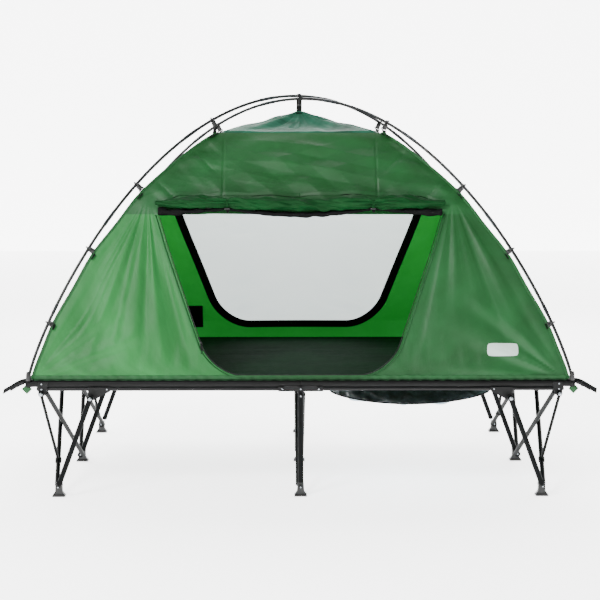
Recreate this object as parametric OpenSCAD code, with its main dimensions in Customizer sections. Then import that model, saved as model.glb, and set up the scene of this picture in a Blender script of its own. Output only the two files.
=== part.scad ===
// Double tent cot: a folding steel cot frame on nine feet, with a dome tent on its deck.
// +Z is up, +X is to the right, +Y is away from the tent's door.
// The origin is on the ground under the middle of the deck.

/* [Deck] */
// Distance from the middle of the deck to the end of a rail
rail_reach = 1046; // [1020:1:1260]
// Distance between two neighbouring rows of feet
row_pitch = 660; // [540:1:800]
// Height of the middle of the upper rails
rail_z = 436; // [400:1:520]
// Outer diameter of the upper rails
rail_d = 22; // [18:0.2:27]
// Outer diameter of the lower rails
lower_rail_d = 16; // [12:1:18]
// Wall of every steel tube
tube_wall = 1.5; // [1:0.1:2.5]
// Thickness of the deck fabric
deck_t = 3; // [2:0.5:5]

/* [Centre hinge] */
// Distance from the middle to each hinge pin of the deck halves
hinge_x = 69; // [60:1:100]
// Diameter of the hinge pins
hinge_pin_d = 8; // [6:0.5:9]
// Thickness of the bracket plates
plate_t = 3; // [2:0.5:4]
// Diameter of the three posts under the middle of the deck
post_d = 22; // [16:1:23]

/* [Legs] */
// Distance from the middle to the shaft that the outer leg frames turn on
leg_shaft_x = 985; // [850:1:1180]
// How far the outer feet stand inside their shaft
foot_inset = 58; // [30:1:90]
// Diameter of the leg shafts and the stay shafts
shaft_d = 12; // [10:0.5:14]
// Diameter of the crossing leg bars
bar_d = 18; // [14:0.2:22]
// Diameter of the links from the shafts' ends to the bars
link_d = 12; // [8:0.5:15]
// Diameter of the foot pins
foot_pin_d = 8; // [6:0.5:10]
// Height of the foot pins above the ground
foot_pin_z = 40; // [34:1:60]
// Diameter of the rivets through the rails
rivet_d = 6; // [4:0.5:8]

/* [Stays] */
// Distance from the middle to the shaft that the stays turn on
stay_shaft_x = 797; // [700:1:860]
// How far the stay shafts are below the hinge pins
stay_drop = 31; // [28:1:50]
// Diameter of the stays
stay_d = 20; // [15:0.5:24]

/* [Tent] */
// Height of the tent's walls, up to the point that they curve to
tent_rise = 1031; // [850:1:1250]
// Height of the poles' crossing above the deck
pole_rise = 1096; // [900:1:1300]
// Diameter of the poles
pole_d = 11; // [8:0.2:14]
// Thickness of the fabric solids
fabric_t = 4; // [3:0.5:6]
// Half width of the door at its sill, before its corners are rounded
door_half_w = 340; // [260:1:420]
// Radius of the door's lower corners
door_corner = 120; // [60:1:160]
// Height of the door
door_h = 608; // [450:1:680]
// Radius of the rolled door
roll_r = 26; // [20:1:32]
// How far the rolled door is above the top of its opening
roll_lift = 19; // [10:1:30]
// Depth of the net under the deck
net_depth = 76; // [50:1:95]

/* [Hidden] */
$fn = 32;
running = 0.05;                       // radial clearance of a pin or shaft in its hole
clear = 2;                            // gap between pieces that pass each other
hinge_z = rail_z - rail_d / 2 - lower_rail_d / 2 - 1;
leg_shaft_z = hinge_z - lower_rail_d / 2 - shaft_d / 2 - clear;
leg_shaft_r = shaft_d / 2;
stay_shaft_z = hinge_z - stay_drop;
centre_bar_z = leg_shaft_z - 8;       // height of the pins at the tops of the centre bars
deck_edge_x = hinge_x + 12;           // inner edge of each half of the deck fabric
rows = [-row_pitch, 0, row_pitch];
plate_y = rail_d / 2 + 1;             // inner face of each bracket plate, from its row
top_sleeve_y = plate_y + plate_t + 11; // middle of a bar's upper sleeve, from its row
foot_half = 10;                       // half the thickness of a foot
foot_top = foot_pin_z + 13;
link_y = row_pitch + plate_y + plate_t + 15;  // middle of the corner links' upper sleeves
link_len = 9;                         // length of a link's sleeve, and half that of its collar
link_place = 0.2;                     // where a link's collar is, 0 at its bar's foot
bar_lean = bar_d / 2 + 1;             // how far each bar stands aside to pass the one it crosses
foot_sleeve_y = foot_half + 9;        // middle of a bar's lower sleeve, from its row
sleeve_len = 14;
stay_y = foot_sleeve_y + sleeve_len / 2 + 6 + stay_d / 2;
stay_gap_y = stay_y + stay_d / 2 + 4 + sleeve_len / 2;
foot_x = leg_shaft_x - foot_inset;
deck_z = rail_z + rail_d / 2 + 1;
deck_half_y = row_pitch + rail_d / 2;
base_z = deck_z + deck_t + 1;         // underside of the tent's walls
base_x = rail_reach - 28;
base_y = row_pitch + 1;
pole_x = base_x + 17;
pole_y = base_y + 11;
bend = 0.82;                          // exponent of the arch of the poles and walls
brim = 0.325;                         // where the walls end and the cap begins, 0 at the top
cap_lift = 87;
door_z = base_z + 12;
door_flare = 0.366;
door_top_z = door_z + door_h;
roll_z = door_top_z + roll_r + roll_lift;
crossing_drop = pole_d + 1;           // how far one pole passes below the other
clip_places = [0.34, 0.62, 0.79, 0.93];

// ---- shared shapes ----

// Builds the left side's piece as it is, or mirrors it to the right side.
module on(side) {
    mirror([side == "right" ? 1 : 0, 0, 0]) children();
}

// A rod between two points.
module rod(from, to, d) {
    run = to - from;
    translate(from)
        rotate([0, acos(run.z / norm(run)), atan2(run.y, run.x)])
            cylinder(h = norm(run), d = d);
}

// A tube between two points, open at both ends.
module tube(from, to, d) {
    way = (to - from) / norm(to - from);
    difference() {
        rod(from, to, d);
        rod(from - way, to + way, d - 2 * tube_wall);
    }
}

// A rod along Y, from the middle point and its length.
module y_rod(x, y, z, len, d) {
    translate([x, y + len / 2, z]) rotate([90, 0, 0]) cylinder(h = len, d = d);
}

// A pin or rivet along Y, with a head at the ends that the list names.
module y_pin(x, y, z, len, d, heads = [-1, 1]) {
    y_rod(x, y, z, len, d);
    for (end = heads)
        translate([x, y + end * len / 2, z]) rotate([-90 * end, 0, 0])
            cylinder(h = d / 3, d1 = 1.6 * d, d2 = d);
}

// A pin through a row's foot or post and the sleeves on each side of it, with a head only on
// the outer side of the front and back rows, where no bar passes.
module row_pin(x, row_y, z, front, back, d) {
    reach_front = front + sleeve_len / 2 + 0.2;
    reach_back = back + sleeve_len / 2 + 0.2;
    y_pin(x, row_y + (reach_back - reach_front) / 2, z, reach_front + reach_back, d,
          row_y < 0 ? [-1] : row_y > 0 ? [1] : []);
}

// A pair of bracket plates, one on each side of a row, cut from an outline in X and Z.
module plates(row_y, outline) {
    for (side = [-1, 1])
        translate([0, row_y + side * (plate_y + plate_t / 2) + plate_t / 2, 0])
            rotate([90, 0, 0]) linear_extrude(plate_t) polygon(outline);
}

// A closed sheet between an outer and an inner grid of points.
module sheet(outer, inner) {
    n = len(outer);
    m = len(outer[0]);
    k = n * m;
    skin = [for (i = [0:n - 2]) for (j = [0:m - 2])
        each [[i * m + j, i * m + j + 1, (i + 1) * m + j + 1],
              [i * m + j, (i + 1) * m + j + 1, (i + 1) * m + j]]];
    rim = [
        for (j = [0:m - 2]) j,
        for (i = [0:n - 2]) i * m + m - 1,
        for (j = [m - 1:-1:1]) (n - 1) * m + j,
        for (i = [n - 1:-1:1]) i * m
    ];
    edge = [for (q = [0:len(rim) - 1]) let (p = rim[q], r = rim[(q + 1) % len(rim)])
        each [[r, p, p + k], [r, p + k, r + k]]];
    polyhedron(
        points = concat([for (row = outer) each row], [for (row = inner) each row]),
        faces = concat(skin, [for (f = skin) [f[2] + k, f[1] + k, f[0] + k]], edge)
    );
}

// ---- tent shape ----

// Size of the tent at a height, as a share of its base.
function share(z) = sqrt(max(0, 1 - pow((z - base_z) / tent_rise, 1 / bend)));

// Height of the walls where the tent has this share of its base.
function wall_z(s) = base_z + tent_rise * pow(1 - s * s, bend);

// Half width of the door and of the window at a height, 0 above and below them.
function door_w(z) =
    z <= door_z || z >= door_top_z ? 0 :
    let (rise = max(0, door_z + door_corner - z))
    door_half_w + door_flare * (z - door_z) - door_corner
        + sqrt(max(0, door_corner * door_corner - rise * rise));

// Heights of the rows of points in the front and back walls.
wall_rows = [
    base_z, door_z,
    for (k = [0:4]) door_z + 1 + (door_corner - 1) * k * k / 16,
    for (k = [1:5]) door_z + door_corner + (door_h - door_corner - 1) * k / 5,
    for (k = [0:3]) door_top_z + (wall_z(brim) - door_top_z) * k / 3
];

// Grid of the left half of a front or back wall, at a distance inside its outer face.
function wall_grid(inside) = [for (z = wall_rows) [for (k = [0:6])
    let (inner_x = door_w(z), outer_x = base_x * share(z) - fabric_t - 1)
    [-(inner_x + (outer_x - inner_x) * k / 6), -base_y * share(z) + inside, z]]];

// The left half of a wall across the deck, with its opening.
module cross_wall() {
    sheet(wall_grid(0), wall_grid(fabric_t));
}

// The mesh that fills the back wall's opening, left half.
module mesh_half() {
    levels = [for (z = wall_rows) if (door_w(z) > 0) z];
    function grid(inside) = [for (z = levels) [for (k = [0:4])
        [-(door_w(z) - 1) * k / 4, -base_y * share(z) + inside, z]]];
    sheet(grid(1), grid(fabric_t - 1));
}

// The wall at the left end of the deck.
module end_wall() {
    function grid(inside) = [for (z = wall_rows) [for (k = [0:8])
        [-base_x * share(z) + inside, base_y * share(z) * (1 - k / 4), z]]];
    sheet(grid(0), grid(fabric_t));
}

// The left half of the peaked cap over the walls' top edge.
module cap_half() {
    round_trip = [
        for (k = [0:3]) [-k / 3, -1],
        for (k = [1:5]) [-1, -1 + 2 * k / 6],
        for (k = [0:3]) [-1 + k / 3, 1]
    ];
    function grid(below) = [for (k = [0:5]) let (s = 1 - 0.97 * k / 5) [for (p = round_trip)
        [p.x * (base_x * brim + 6) * s, p.y * (base_y * brim + 6) * s,
         wall_z(brim) + 1 + cap_lift * pow(1 - s, 1.1) + fabric_t - below]]];
    sheet(grid(0), grid(fabric_t));
}

// Point on a pole, from 0 at the crossing to 1 at the deck's corner.
function pole_point(r, front, drop) =
    [-pole_x * r, (front ? -1 : 1) * pole_y * r,
     base_z + 1 + (pole_rise - drop) * pow(1 - r * r, bend)];

// The pole on the left, from the crossing to a corner, swept as one tube.
module pole_half(front, drop) {
    steps = 26;
    sides = 8;
    r0 = 0.002;
    angles = [for (k = [0:steps]) acos(r0) * (1 - k / steps)];
    path = [for (a = angles) pole_point(cos(a), front, drop)];
    turn = (front ? -1 : 1) * pole_y / pole_x;
    across = [turn, 1, 0] / norm([turn, 1, 0]);
    rings = [for (k = [0:steps])
        let (ahead = path[min(k + 1, steps)] - path[max(k - 1, 0)],
             way = ahead / norm(ahead),
             up = cross(way, across))
        [for (j = [0:sides - 1])
            path[k] + pole_d / 2 * (cos(360 * j / sides) * across + sin(360 * j / sides) * up)]];
    polyhedron(
        points = [for (ring = rings) each ring],
        faces = concat(
            [[for (j = [sides - 1:-1:0]) j]],
            [for (k = [0:steps - 1]) for (j = [0:sides - 1])
                let (a = k * sides + j, b = k * sides + (j + 1) % sides)
                each [[a, b, b + sides], [a, b + sides, a + sides]]],
            [[for (j = [0:sides - 1]) steps * sides + j]]
        )
    );
}

// One clip: a hook round the pole and the web tab that holds the wall to it.
module clip(r, front, drop) {
    here = pole_point(r, front, drop);
    ahead = pole_point(r + 0.01, front, drop) - here;
    way = ahead / norm(ahead);
    translate(here)
        rotate([0, acos(way.z), atan2(way.y, way.x)]) {
            difference() {
                translate([0, 0, -6]) cylinder(h = 12, r = pole_d / 2 + 3.5);
                translate([0, 0, -7]) cylinder(h = 14, r = pole_d / 2 + 0.6);
            }
            translate([pole_d / 2 + 3, -6, -4]) cube([clip_reach(r), 12, 8]);
        }
}

// Length of the tab of a clip at a place along the pole.
function clip_reach(r) = 22 * (1 - pow(r, 6)) + 2;

// ---- centre row of posts, on the ground under the middle of the deck ----

module centre_brackets() {
    color("#1b1c1e") for (y = rows) {
        difference() {
            plates(y, [[-hinge_x - 16, hinge_z - 9], [hinge_x + 16, hinge_z - 9],
                       [hinge_x + 16, hinge_z + 9], [-hinge_x - 16, hinge_z + 9]]);
            for (x = [-hinge_x, hinge_x]) y_rod(x, y, hinge_z, 60, hinge_pin_d + 2 * running);
            y_rod(0, y, hinge_z, 60, hinge_pin_d + 2 * running);
        }
        tube([-30, y, rail_z], [30, y, rail_z], rail_d);
    }
}

module centre_posts() {
    color("#202124") for (y = rows)
        difference() {
            tube([0, y, foot_top], [0, y, rail_z - rail_d / 2 - clear / 2], post_d);
            y_rod(0, y, hinge_z, 60, hinge_pin_d + 2 * running);
            y_rod(0, y, centre_bar_z, 60, foot_pin_d + 2 * running);
        }
}

// A bar between two rows, with a sleeve at each end for a pin or shaft.
module leg_bar(x_top, x_foot, z_top, lean, y_top, y_foot, pin_d_top) {
    difference() {
        union() {
            rod([x_top + lean, y_top, z_top], [x_foot + lean, y_foot, foot_pin_z], bar_d);
            y_rod(x_top, y_top, z_top, sleeve_len, bar_d + 6);
            y_rod(x_foot, y_foot, foot_pin_z, sleeve_len, bar_d + 6);
        }
        y_rod(x_top, y_top, z_top, 60, pin_d_top + 2 * running);
        y_rod(x_foot, y_foot, foot_pin_z, 60, foot_pin_d + 2 * running);
    }
}

// The four bars of one column of feet, crossing in pairs.
module bars(x_top, x_foot, z_top, pin_d_top, middle_gap) {
    for (bay = [0, 1]) {
        near = rows[bay];
        far = rows[bay + 1];
        near_top = near + top_sleeve_y;
        near_foot = near + foot_sleeve_y;
        far_top = far - (bay == 0 ? max(middle_gap, top_sleeve_y) : top_sleeve_y);
        far_foot = far - (bay == 0 ? max(middle_gap, foot_sleeve_y) : foot_sleeve_y);
        leg_bar(x_top, x_foot, z_top, bar_lean, near_top, far_foot, pin_d_top);
        leg_bar(x_top, x_foot, z_top, -bar_lean, far_top, near_foot, pin_d_top);
    }
}

module centre_bars() {
    color("#2a2c30") bars(0, 0, centre_bar_z, foot_pin_d, 0);
}

// One foot with its pad on the ground.
module foot(x, y) {
    difference() {
        union() {
            translate([x, y + foot_half, 0]) rotate([90, 0, 0]) linear_extrude(2 * foot_half)
                polygon([[-23, 0], [23, 0], [23, 6], [14, 20], [12, foot_top],
                         [-12, foot_top], [-14, 20], [-23, 6]]);
            translate([x - 24, y - foot_half - 8, 0]) cube([48, 2 * foot_half + 16, 6]);
        }
        y_rod(x, y, foot_pin_z, 60, foot_pin_d + 2 * running);
    }
}

module centre_feet() {
    color("#17181a") for (y = rows) foot(0, y);
}

module centre_pins() {
    color("#c9ccd0") for (y = rows) {
        for (x = [-hinge_x, 0, hinge_x])
            y_pin(x, y, hinge_z, 2 * (plate_y + plate_t) + 0.4, hinge_pin_d);
        for (z = [centre_bar_z, foot_pin_z])
            row_pin(0, y, z, top_sleeve_y, top_sleeve_y, foot_pin_d);
    }
}

module deck_centre() {
    half = deck_edge_x - clear;
    color("#16301f") translate([-half, -deck_half_y, deck_z])
        cube([2 * half, 2 * deck_half_y, deck_t]);
}

// ---- one half of the deck ----

// One upper rail of the left half, drilled for the rivets of its brackets.
module rail(y) {
    difference() {
        tube([-rail_reach + rail_d + 1, y, rail_z], [-hinge_x + 4, y, rail_z], rail_d);
        y_rod(-leg_shaft_x, y, rail_z, 60, rivet_d + 2 * running);
    }
}

module rail_end() {
    tube([-rail_reach + rail_d / 2, -deck_half_y, rail_z],
         [-rail_reach + rail_d / 2, deck_half_y, rail_z], rail_d);
}

module lower_rails() {
    for (y = rows) difference() {
        union() {
            tube([-leg_shaft_x - 14, y, hinge_z], [-hinge_x - 7, y, hinge_z], lower_rail_d);
            rod([-hinge_x - 20, y, hinge_z], [-hinge_x + 8, y, hinge_z], lower_rail_d);
        }
        y_rod(-hinge_x, y, hinge_z, 60, hinge_pin_d + 2 * running);
        y_rod(-stay_shaft_x + 60, y, hinge_z, 60, rivet_d + 2 * running);
        y_rod(-leg_shaft_x, y, hinge_z, 60, rivet_d + 2 * running);
    }
}

module corner_brackets() {
    low = leg_shaft_z - leg_shaft_r - 5;
    for (y = rows) difference() {
        plates(y, [[-leg_shaft_x - 13, low + 8], [-leg_shaft_x - 8, low], [-leg_shaft_x + 8, low],
                   [-leg_shaft_x + 22, hinge_z], [-leg_shaft_x + 22, rail_z + 6],
                   [-leg_shaft_x - 13, rail_z + 6]]);
        y_rod(-leg_shaft_x, y, leg_shaft_z, 60, shaft_d + 2 * running);
        y_rod(-leg_shaft_x, y, hinge_z, 60, rivet_d + 2 * running);
        y_rod(-leg_shaft_x, y, rail_z, 60, rivet_d + 2 * running);
    }
}

module stay_brackets() {
    low = stay_shaft_z - leg_shaft_r - 5;
    for (y = rows) difference() {
        plates(y, [[-stay_shaft_x - 12, low + 6], [-stay_shaft_x - 6, low],
                   [-stay_shaft_x + 10, low], [-stay_shaft_x + 72, hinge_z - 8],
                   [-stay_shaft_x + 72, hinge_z + 7], [-stay_shaft_x - 12, hinge_z + 7]]);
        y_rod(-stay_shaft_x, y, stay_shaft_z, 60, shaft_d + 2 * running);
        y_rod(-stay_shaft_x + 60, y, hinge_z, 60, rivet_d + 2 * running);
    }
}

module rivets() {
    len = 2 * (plate_y + plate_t) + 0.4;
    for (y = rows) {
        y_pin(-leg_shaft_x, y, rail_z, len, rivet_d);
        y_pin(-leg_shaft_x, y, hinge_z, len, rivet_d);
        y_pin(-stay_shaft_x + 60, y, hinge_z, len, rivet_d);
    }
}

module deck() {
    translate([-rail_reach, -deck_half_y, deck_z])
        cube([rail_reach - deck_edge_x, 2 * deck_half_y, deck_t]);
}

// Web tails at the two corners, past the end of the deck.
module corner_tabs() {
    for (y = [-row_pitch + 12, row_pitch - 12])
        translate([-rail_reach - 1, y + 12, rail_z])
            rotate([90, 0, 0]) linear_extrude(24)
                polygon([[0, 3], [0, -1], [-30, -7], [-86, -32], [-88, -29], [-31, -3]]);
}

// ---- one leg frame ----

module leg_shaft() {
    y_rod(-leg_shaft_x, 0, leg_shaft_z, 2 * link_y + link_len + 4, shaft_d);
}

module leg_bars() {
    bars(-leg_shaft_x, -foot_x, leg_shaft_z, shaft_d, stay_gap_y);
}

// Links from the shaft's ends, outside the front and back rows, to collars on the bars whose
// feet are in those rows.
module corner_links() {
    for (side = [-1, 1]) {
        start = [-leg_shaft_x, side * link_y, leg_shaft_z];
        top = [-leg_shaft_x + side * bar_lean,
               side < 0 ? -max(stay_gap_y, top_sleeve_y) : top_sleeve_y, leg_shaft_z];
        low = [-foot_x + side * bar_lean, side * (row_pitch - foot_sleeve_y), foot_pin_z];
        way = (top - low) / norm(top - low);
        at = low + link_place * (top - low);
        difference() {
            union() {
                rod(start, at, link_d);
                y_rod(start.x, start.y, start.z, link_len, shaft_d + 8);
                rod(at - link_len * way, at + link_len * way, bar_d + 7);
            }
            y_rod(start.x, start.y, start.z, 60, shaft_d + 2 * running);
            rod(at - 30 * way, at + 30 * way, bar_d + 2 * running);
        }
    }
}

module feet() {
    for (y = rows) foot(-foot_x, y);
}

module foot_pins() {
    for (y = rows)
        row_pin(-foot_x, y, foot_pin_z, y == 0 ? stay_gap_y : foot_sleeve_y, foot_sleeve_y,
                foot_pin_d);
}

// ---- one set of stays ----

module stay_shaft() {
    y_rod(-stay_shaft_x, 0, stay_shaft_z, 2 * (row_pitch + stay_y + stay_d / 2) + 4, shaft_d);
}

module stays() {
    low = [-foot_x + 10, foot_pin_z + foot_pin_d / 2 + stay_d / 2 + 8];
    for (y = [rows[0] - stay_y, rows[1] - stay_y, rows[2] + stay_y])
        difference() {
            union() {
                rod([-stay_shaft_x, y, stay_shaft_z], [low.x, y, low.y], stay_d);
                y_rod(-stay_shaft_x, y, stay_shaft_z, sleeve_len, stay_d + 4);
                y_rod(low.x, y, low.y, sleeve_len, stay_d + 2);
            }
            y_rod(-stay_shaft_x, y, stay_shaft_z, 60, shaft_d + 2 * running);
        }
}

// ---- tent pieces ----

module pole_clips(front_drop, back_drop) {
    for (r = clip_places) {
        clip(r, true, front_drop);
        clip(r, false, back_drop);
    }
}

module door_roll() {
    y = -base_y * share(roll_z - roll_r) - roll_r - clear;
    translate([-1, y, roll_z]) rotate([0, -90, 0])
        cylinder(h = door_half_w + door_flare * door_h, r = roll_r);
}

module wall_back() {
    mirror([0, 1, 0]) cross_wall();
}

module window() {
    mirror([0, 1, 0]) mesh_half();
}

// The net under the right half of the deck, as the closed shape of the hanging net.
module gear_net() {
    x0 = hinge_x + 46;
    x1 = stay_shaft_x - 75;
    top = hinge_z - lower_rail_d / 2 - clear;
    color("#20262a") translate([0, -110, 0]) rotate([90, 0, 0])
        linear_extrude(row_pitch - 110 - plate_y - plate_t - 4)
            polygon([[x0, top], for (k = [1:9]) let (t = k / 10)
                [x0 + (x1 - x0) * t, top - 5 - net_depth * 4 * t * (1 - t)], [x1, top]]);
}

centre_brackets();
centre_posts();
centre_bars();
centre_feet();
centre_pins();
deck_centre();
on("left") color("#141416") rail(rows[0]);  // rail_front_left
on("left") color("#141416") rail(rows[1]);  // rail_middle_left
on("left") color("#141416") rail(rows[2]);  // rail_back_left
on("left") color("#141416") rail_end();  // rail_end_left
on("left") color("#232427") lower_rails();  // lower_rails_left
on("left") color("#1b1c1e") corner_brackets();  // corner_brackets_left
on("left") color("#1b1c1e") stay_brackets();  // stay_brackets_left
on("left") color("#c9ccd0") rivets();  // rivets_left
on("left") color("#16301f") deck();  // deck_left
on("left") color("#101112") corner_tabs();  // corner_tabs_left
on("left") color("#2a2c30") leg_shaft();  // leg_shaft_left
on("left") color("#2a2c30") leg_bars();  // leg_bars_left
on("left") color("#2a2c30") corner_links();  // corner_links_left
on("left") color("#17181a") feet();  // feet_left
on("left") color("#c9ccd0") foot_pins();  // foot_pins_left
on("left") color("#2a2c30") stay_shaft();  // stay_shaft_left
on("left") color("#202124") stays();  // stays_left
on("left") color("#3a3d40") pole_half(true, 0);  // pole_front_left
on("left") color("#3a3d40") pole_half(false, crossing_drop);  // pole_back_left
on("left") color("#101112") pole_clips(0, crossing_drop);  // pole_clips_left
on("left") color("#1f6b35") cross_wall();  // wall_front_left
on("left") color("#1f6b35") wall_back();  // wall_back_left
on("left") color("#1f6b35") end_wall();  // wall_end_left
on("left") color("#1f6b35") cap_half();  // roof_cap_left
on("left") color("#dfe6ea") window();  // window_left
on("left") color("#1f6b35") door_roll();  // door_roll_left
on("right") color("#141416") rail(rows[0]);  // rail_front_right
on("right") color("#141416") rail(rows[1]);  // rail_middle_right
on("right") color("#141416") rail(rows[2]);  // rail_back_right
on("right") color("#141416") rail_end();  // rail_end_right
on("right") color("#232427") lower_rails();  // lower_rails_right
on("right") color("#1b1c1e") corner_brackets();  // corner_brackets_right
on("right") color("#1b1c1e") stay_brackets();  // stay_brackets_right
on("right") color("#c9ccd0") rivets();  // rivets_right
on("right") color("#16301f") deck();  // deck_right
on("right") color("#101112") corner_tabs();  // corner_tabs_right
on("right") color("#2a2c30") leg_shaft();  // leg_shaft_right
on("right") color("#2a2c30") leg_bars();  // leg_bars_right
on("right") color("#2a2c30") corner_links();  // corner_links_right
on("right") color("#17181a") feet();  // feet_right
on("right") color("#c9ccd0") foot_pins();  // foot_pins_right
on("right") color("#2a2c30") stay_shaft();  // stay_shaft_right
on("right") color("#202124") stays();  // stays_right
on("right") color("#3a3d40") pole_half(true, crossing_drop);  // pole_front_right
on("right") color("#3a3d40") pole_half(false, 0);  // pole_back_right
on("right") color("#101112") pole_clips(crossing_drop, 0);  // pole_clips_right
on("right") color("#1f6b35") cross_wall();  // wall_front_right
on("right") color("#1f6b35") wall_back();  // wall_back_right
on("right") color("#1f6b35") end_wall();  // wall_end_right
on("right") color("#1f6b35") cap_half();  // roof_cap_right
on("right") color("#dfe6ea") window();  // window_right
on("right") color("#1f6b35") door_roll();  // door_roll_right
gear_net();
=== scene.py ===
"""A double tent cot: fabric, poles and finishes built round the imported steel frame.

Units are metres. +X runs to the right along the deck, +Y away from the door and +Z up.
"""

from __future__ import annotations

import logging
import math
from collections.abc import Callable
from dataclasses import dataclass, field
from enum import Enum

import bpy
import numpy as np
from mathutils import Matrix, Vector


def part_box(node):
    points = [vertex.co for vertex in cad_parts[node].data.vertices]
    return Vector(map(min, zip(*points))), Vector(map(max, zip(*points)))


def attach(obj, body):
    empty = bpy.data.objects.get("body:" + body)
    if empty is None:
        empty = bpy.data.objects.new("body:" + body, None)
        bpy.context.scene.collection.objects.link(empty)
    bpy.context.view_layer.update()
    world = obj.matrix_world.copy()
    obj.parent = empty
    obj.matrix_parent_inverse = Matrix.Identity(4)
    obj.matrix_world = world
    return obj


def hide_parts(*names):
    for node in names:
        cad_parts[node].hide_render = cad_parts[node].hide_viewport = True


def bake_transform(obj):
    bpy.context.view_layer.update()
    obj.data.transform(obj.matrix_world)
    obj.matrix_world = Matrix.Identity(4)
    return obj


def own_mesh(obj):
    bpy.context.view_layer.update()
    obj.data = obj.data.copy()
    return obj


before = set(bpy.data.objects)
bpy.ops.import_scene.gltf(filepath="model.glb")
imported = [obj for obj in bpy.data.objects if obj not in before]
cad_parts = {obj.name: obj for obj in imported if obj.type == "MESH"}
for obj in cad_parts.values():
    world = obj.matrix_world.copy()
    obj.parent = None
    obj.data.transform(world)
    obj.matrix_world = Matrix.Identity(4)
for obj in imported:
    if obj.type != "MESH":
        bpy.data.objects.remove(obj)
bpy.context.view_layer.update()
LOG = logging.getLogger("tent_cot")

Array = np.ndarray


class Side(Enum):
    """The two halves of the cot, which fold up towards each other."""

    LEFT = -1
    RIGHT = 1

    @property
    def word(self) -> str:
        """The side's name, as it ends the names of nodes and bodies."""
        return self.name.lower()

    @property
    def half(self) -> str:
        """The body that this side's half of the deck moves with."""
        return f"{self.word}_half"

    @property
    def joint(self) -> str:
        """The joint that folds this half."""
        return f"{self.word}_half_fold"


class End(Enum):
    """The two long faces of the tent."""

    FRONT = -1
    BACK = 1


# ---- colours and nodes ----


def linear(colour: str) -> tuple[float, float, float, float]:
    """Turns an sRGB hex colour to linear light.

    Args:
        colour: Six hex digits after a hash.

    Returns:
        Red, green, blue and an alpha of 1.
    """
    parts = [int(colour[i : i + 2], 16) / 255 for i in (1, 3, 5)]
    r, g, b = (c / 12.92 if c <= 0.04045 else ((c + 0.055) / 1.055) ** 2.4 for c in parts)
    return (r, g, b, 1.0)


def add(
    tree: bpy.types.NodeTree, kind: str, settings: dict | None = None, links: dict | None = None
) -> bpy.types.Node:
    """Adds a node, sets it up and links its inputs.

    Args:
        tree: The tree that gets the node.
        kind: The node's type name.
        settings: Attribute or input name to value.
        links: Input name or number to the output socket that feeds it.

    Returns:
        The new node.
    """
    node = tree.nodes.new(kind)
    for key, value in (settings or {}).items():
        if isinstance(key, str) and hasattr(node, key):
            setattr(node, key, value)
        else:
            node.inputs[key].default_value = value
    for key, output in (links or {}).items():
        tree.links.new(output, node.inputs[key])
    return node


def shader(name: str) -> tuple[bpy.types.Material, bpy.types.NodeTree, bpy.types.Node]:
    """Makes an empty material with one Principled shader.

    Args:
        name: The material's name.

    Returns:
        The material, its tree and its Principled node.
    """
    material = bpy.data.materials.new(name)
    material.use_nodes = True
    tree = material.node_tree
    return material, tree, tree.nodes["Principled BSDF"]


def ramp(
    tree: bpy.types.NodeTree, factor: bpy.types.NodeSocket, stops: list[tuple[float, str]]
) -> bpy.types.Node:
    """Adds a colour ramp.

    Args:
        tree: The material's tree.
        factor: The output that drives it.
        stops: Places and hex colours, in order.

    Returns:
        The ramp's node.
    """
    node = add(tree, "ShaderNodeValToRGB", links={"Fac": factor})
    elements = node.color_ramp.elements
    while len(elements) < len(stops):
        elements.new(0.5)
    for element, (place, colour) in zip(elements, stops):
        element.position = place
        element.color = linear(colour)
    return node


@dataclass(frozen=True)
class PowderCoat:
    """Powder-coated steel: a satin black skin with a fine orange-peel, dulled by handling."""

    name: str
    colour: str
    worn: str
    roughness: float = 0.38
    peel_mm: float = 2.5
    metallic: float = 0.0
    specular: float = 0.3

    def build(self) -> bpy.types.Material:
        """Builds the material: mottled colour, uneven gloss and the orange-peel as bump."""
        material, tree, bsdf = shader(self.name)
        place = add(tree, "ShaderNodeTexCoord").outputs["Object"]
        broad = add(
            tree, "ShaderNodeTexNoise", {"Scale": 14.0, "Detail": 5.0, "Roughness": 0.6}, {"Vector": place}
        )
        peel = add(
            tree, "ShaderNodeTexNoise", {"Scale": 1000 / self.peel_mm, "Detail": 2.0}, {"Vector": place}
        )
        tint = ramp(tree, broad.outputs["Fac"], [(0.35, self.colour), (0.72, self.worn)])
        gloss = add(
            tree,
            "ShaderNodeMapRange",
            {"To Min": self.roughness - 0.08, "To Max": self.roughness + 0.14},
            {"Value": broad.outputs["Fac"]},
        )
        bump = add(
            tree, "ShaderNodeBump", {"Strength": 0.12, "Distance": 0.0004}, {"Height": peel.outputs["Fac"]}
        )
        bsdf.inputs["Metallic"].default_value = self.metallic
        bsdf.inputs["Specular IOR Level"].default_value = self.specular
        tree.links.new(tint.outputs["Color"], bsdf.inputs["Base Color"])
        tree.links.new(gloss.outputs["Result"], bsdf.inputs["Roughness"])
        tree.links.new(bump.outputs["Normal"], bsdf.inputs["Normal"])
        return material


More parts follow.
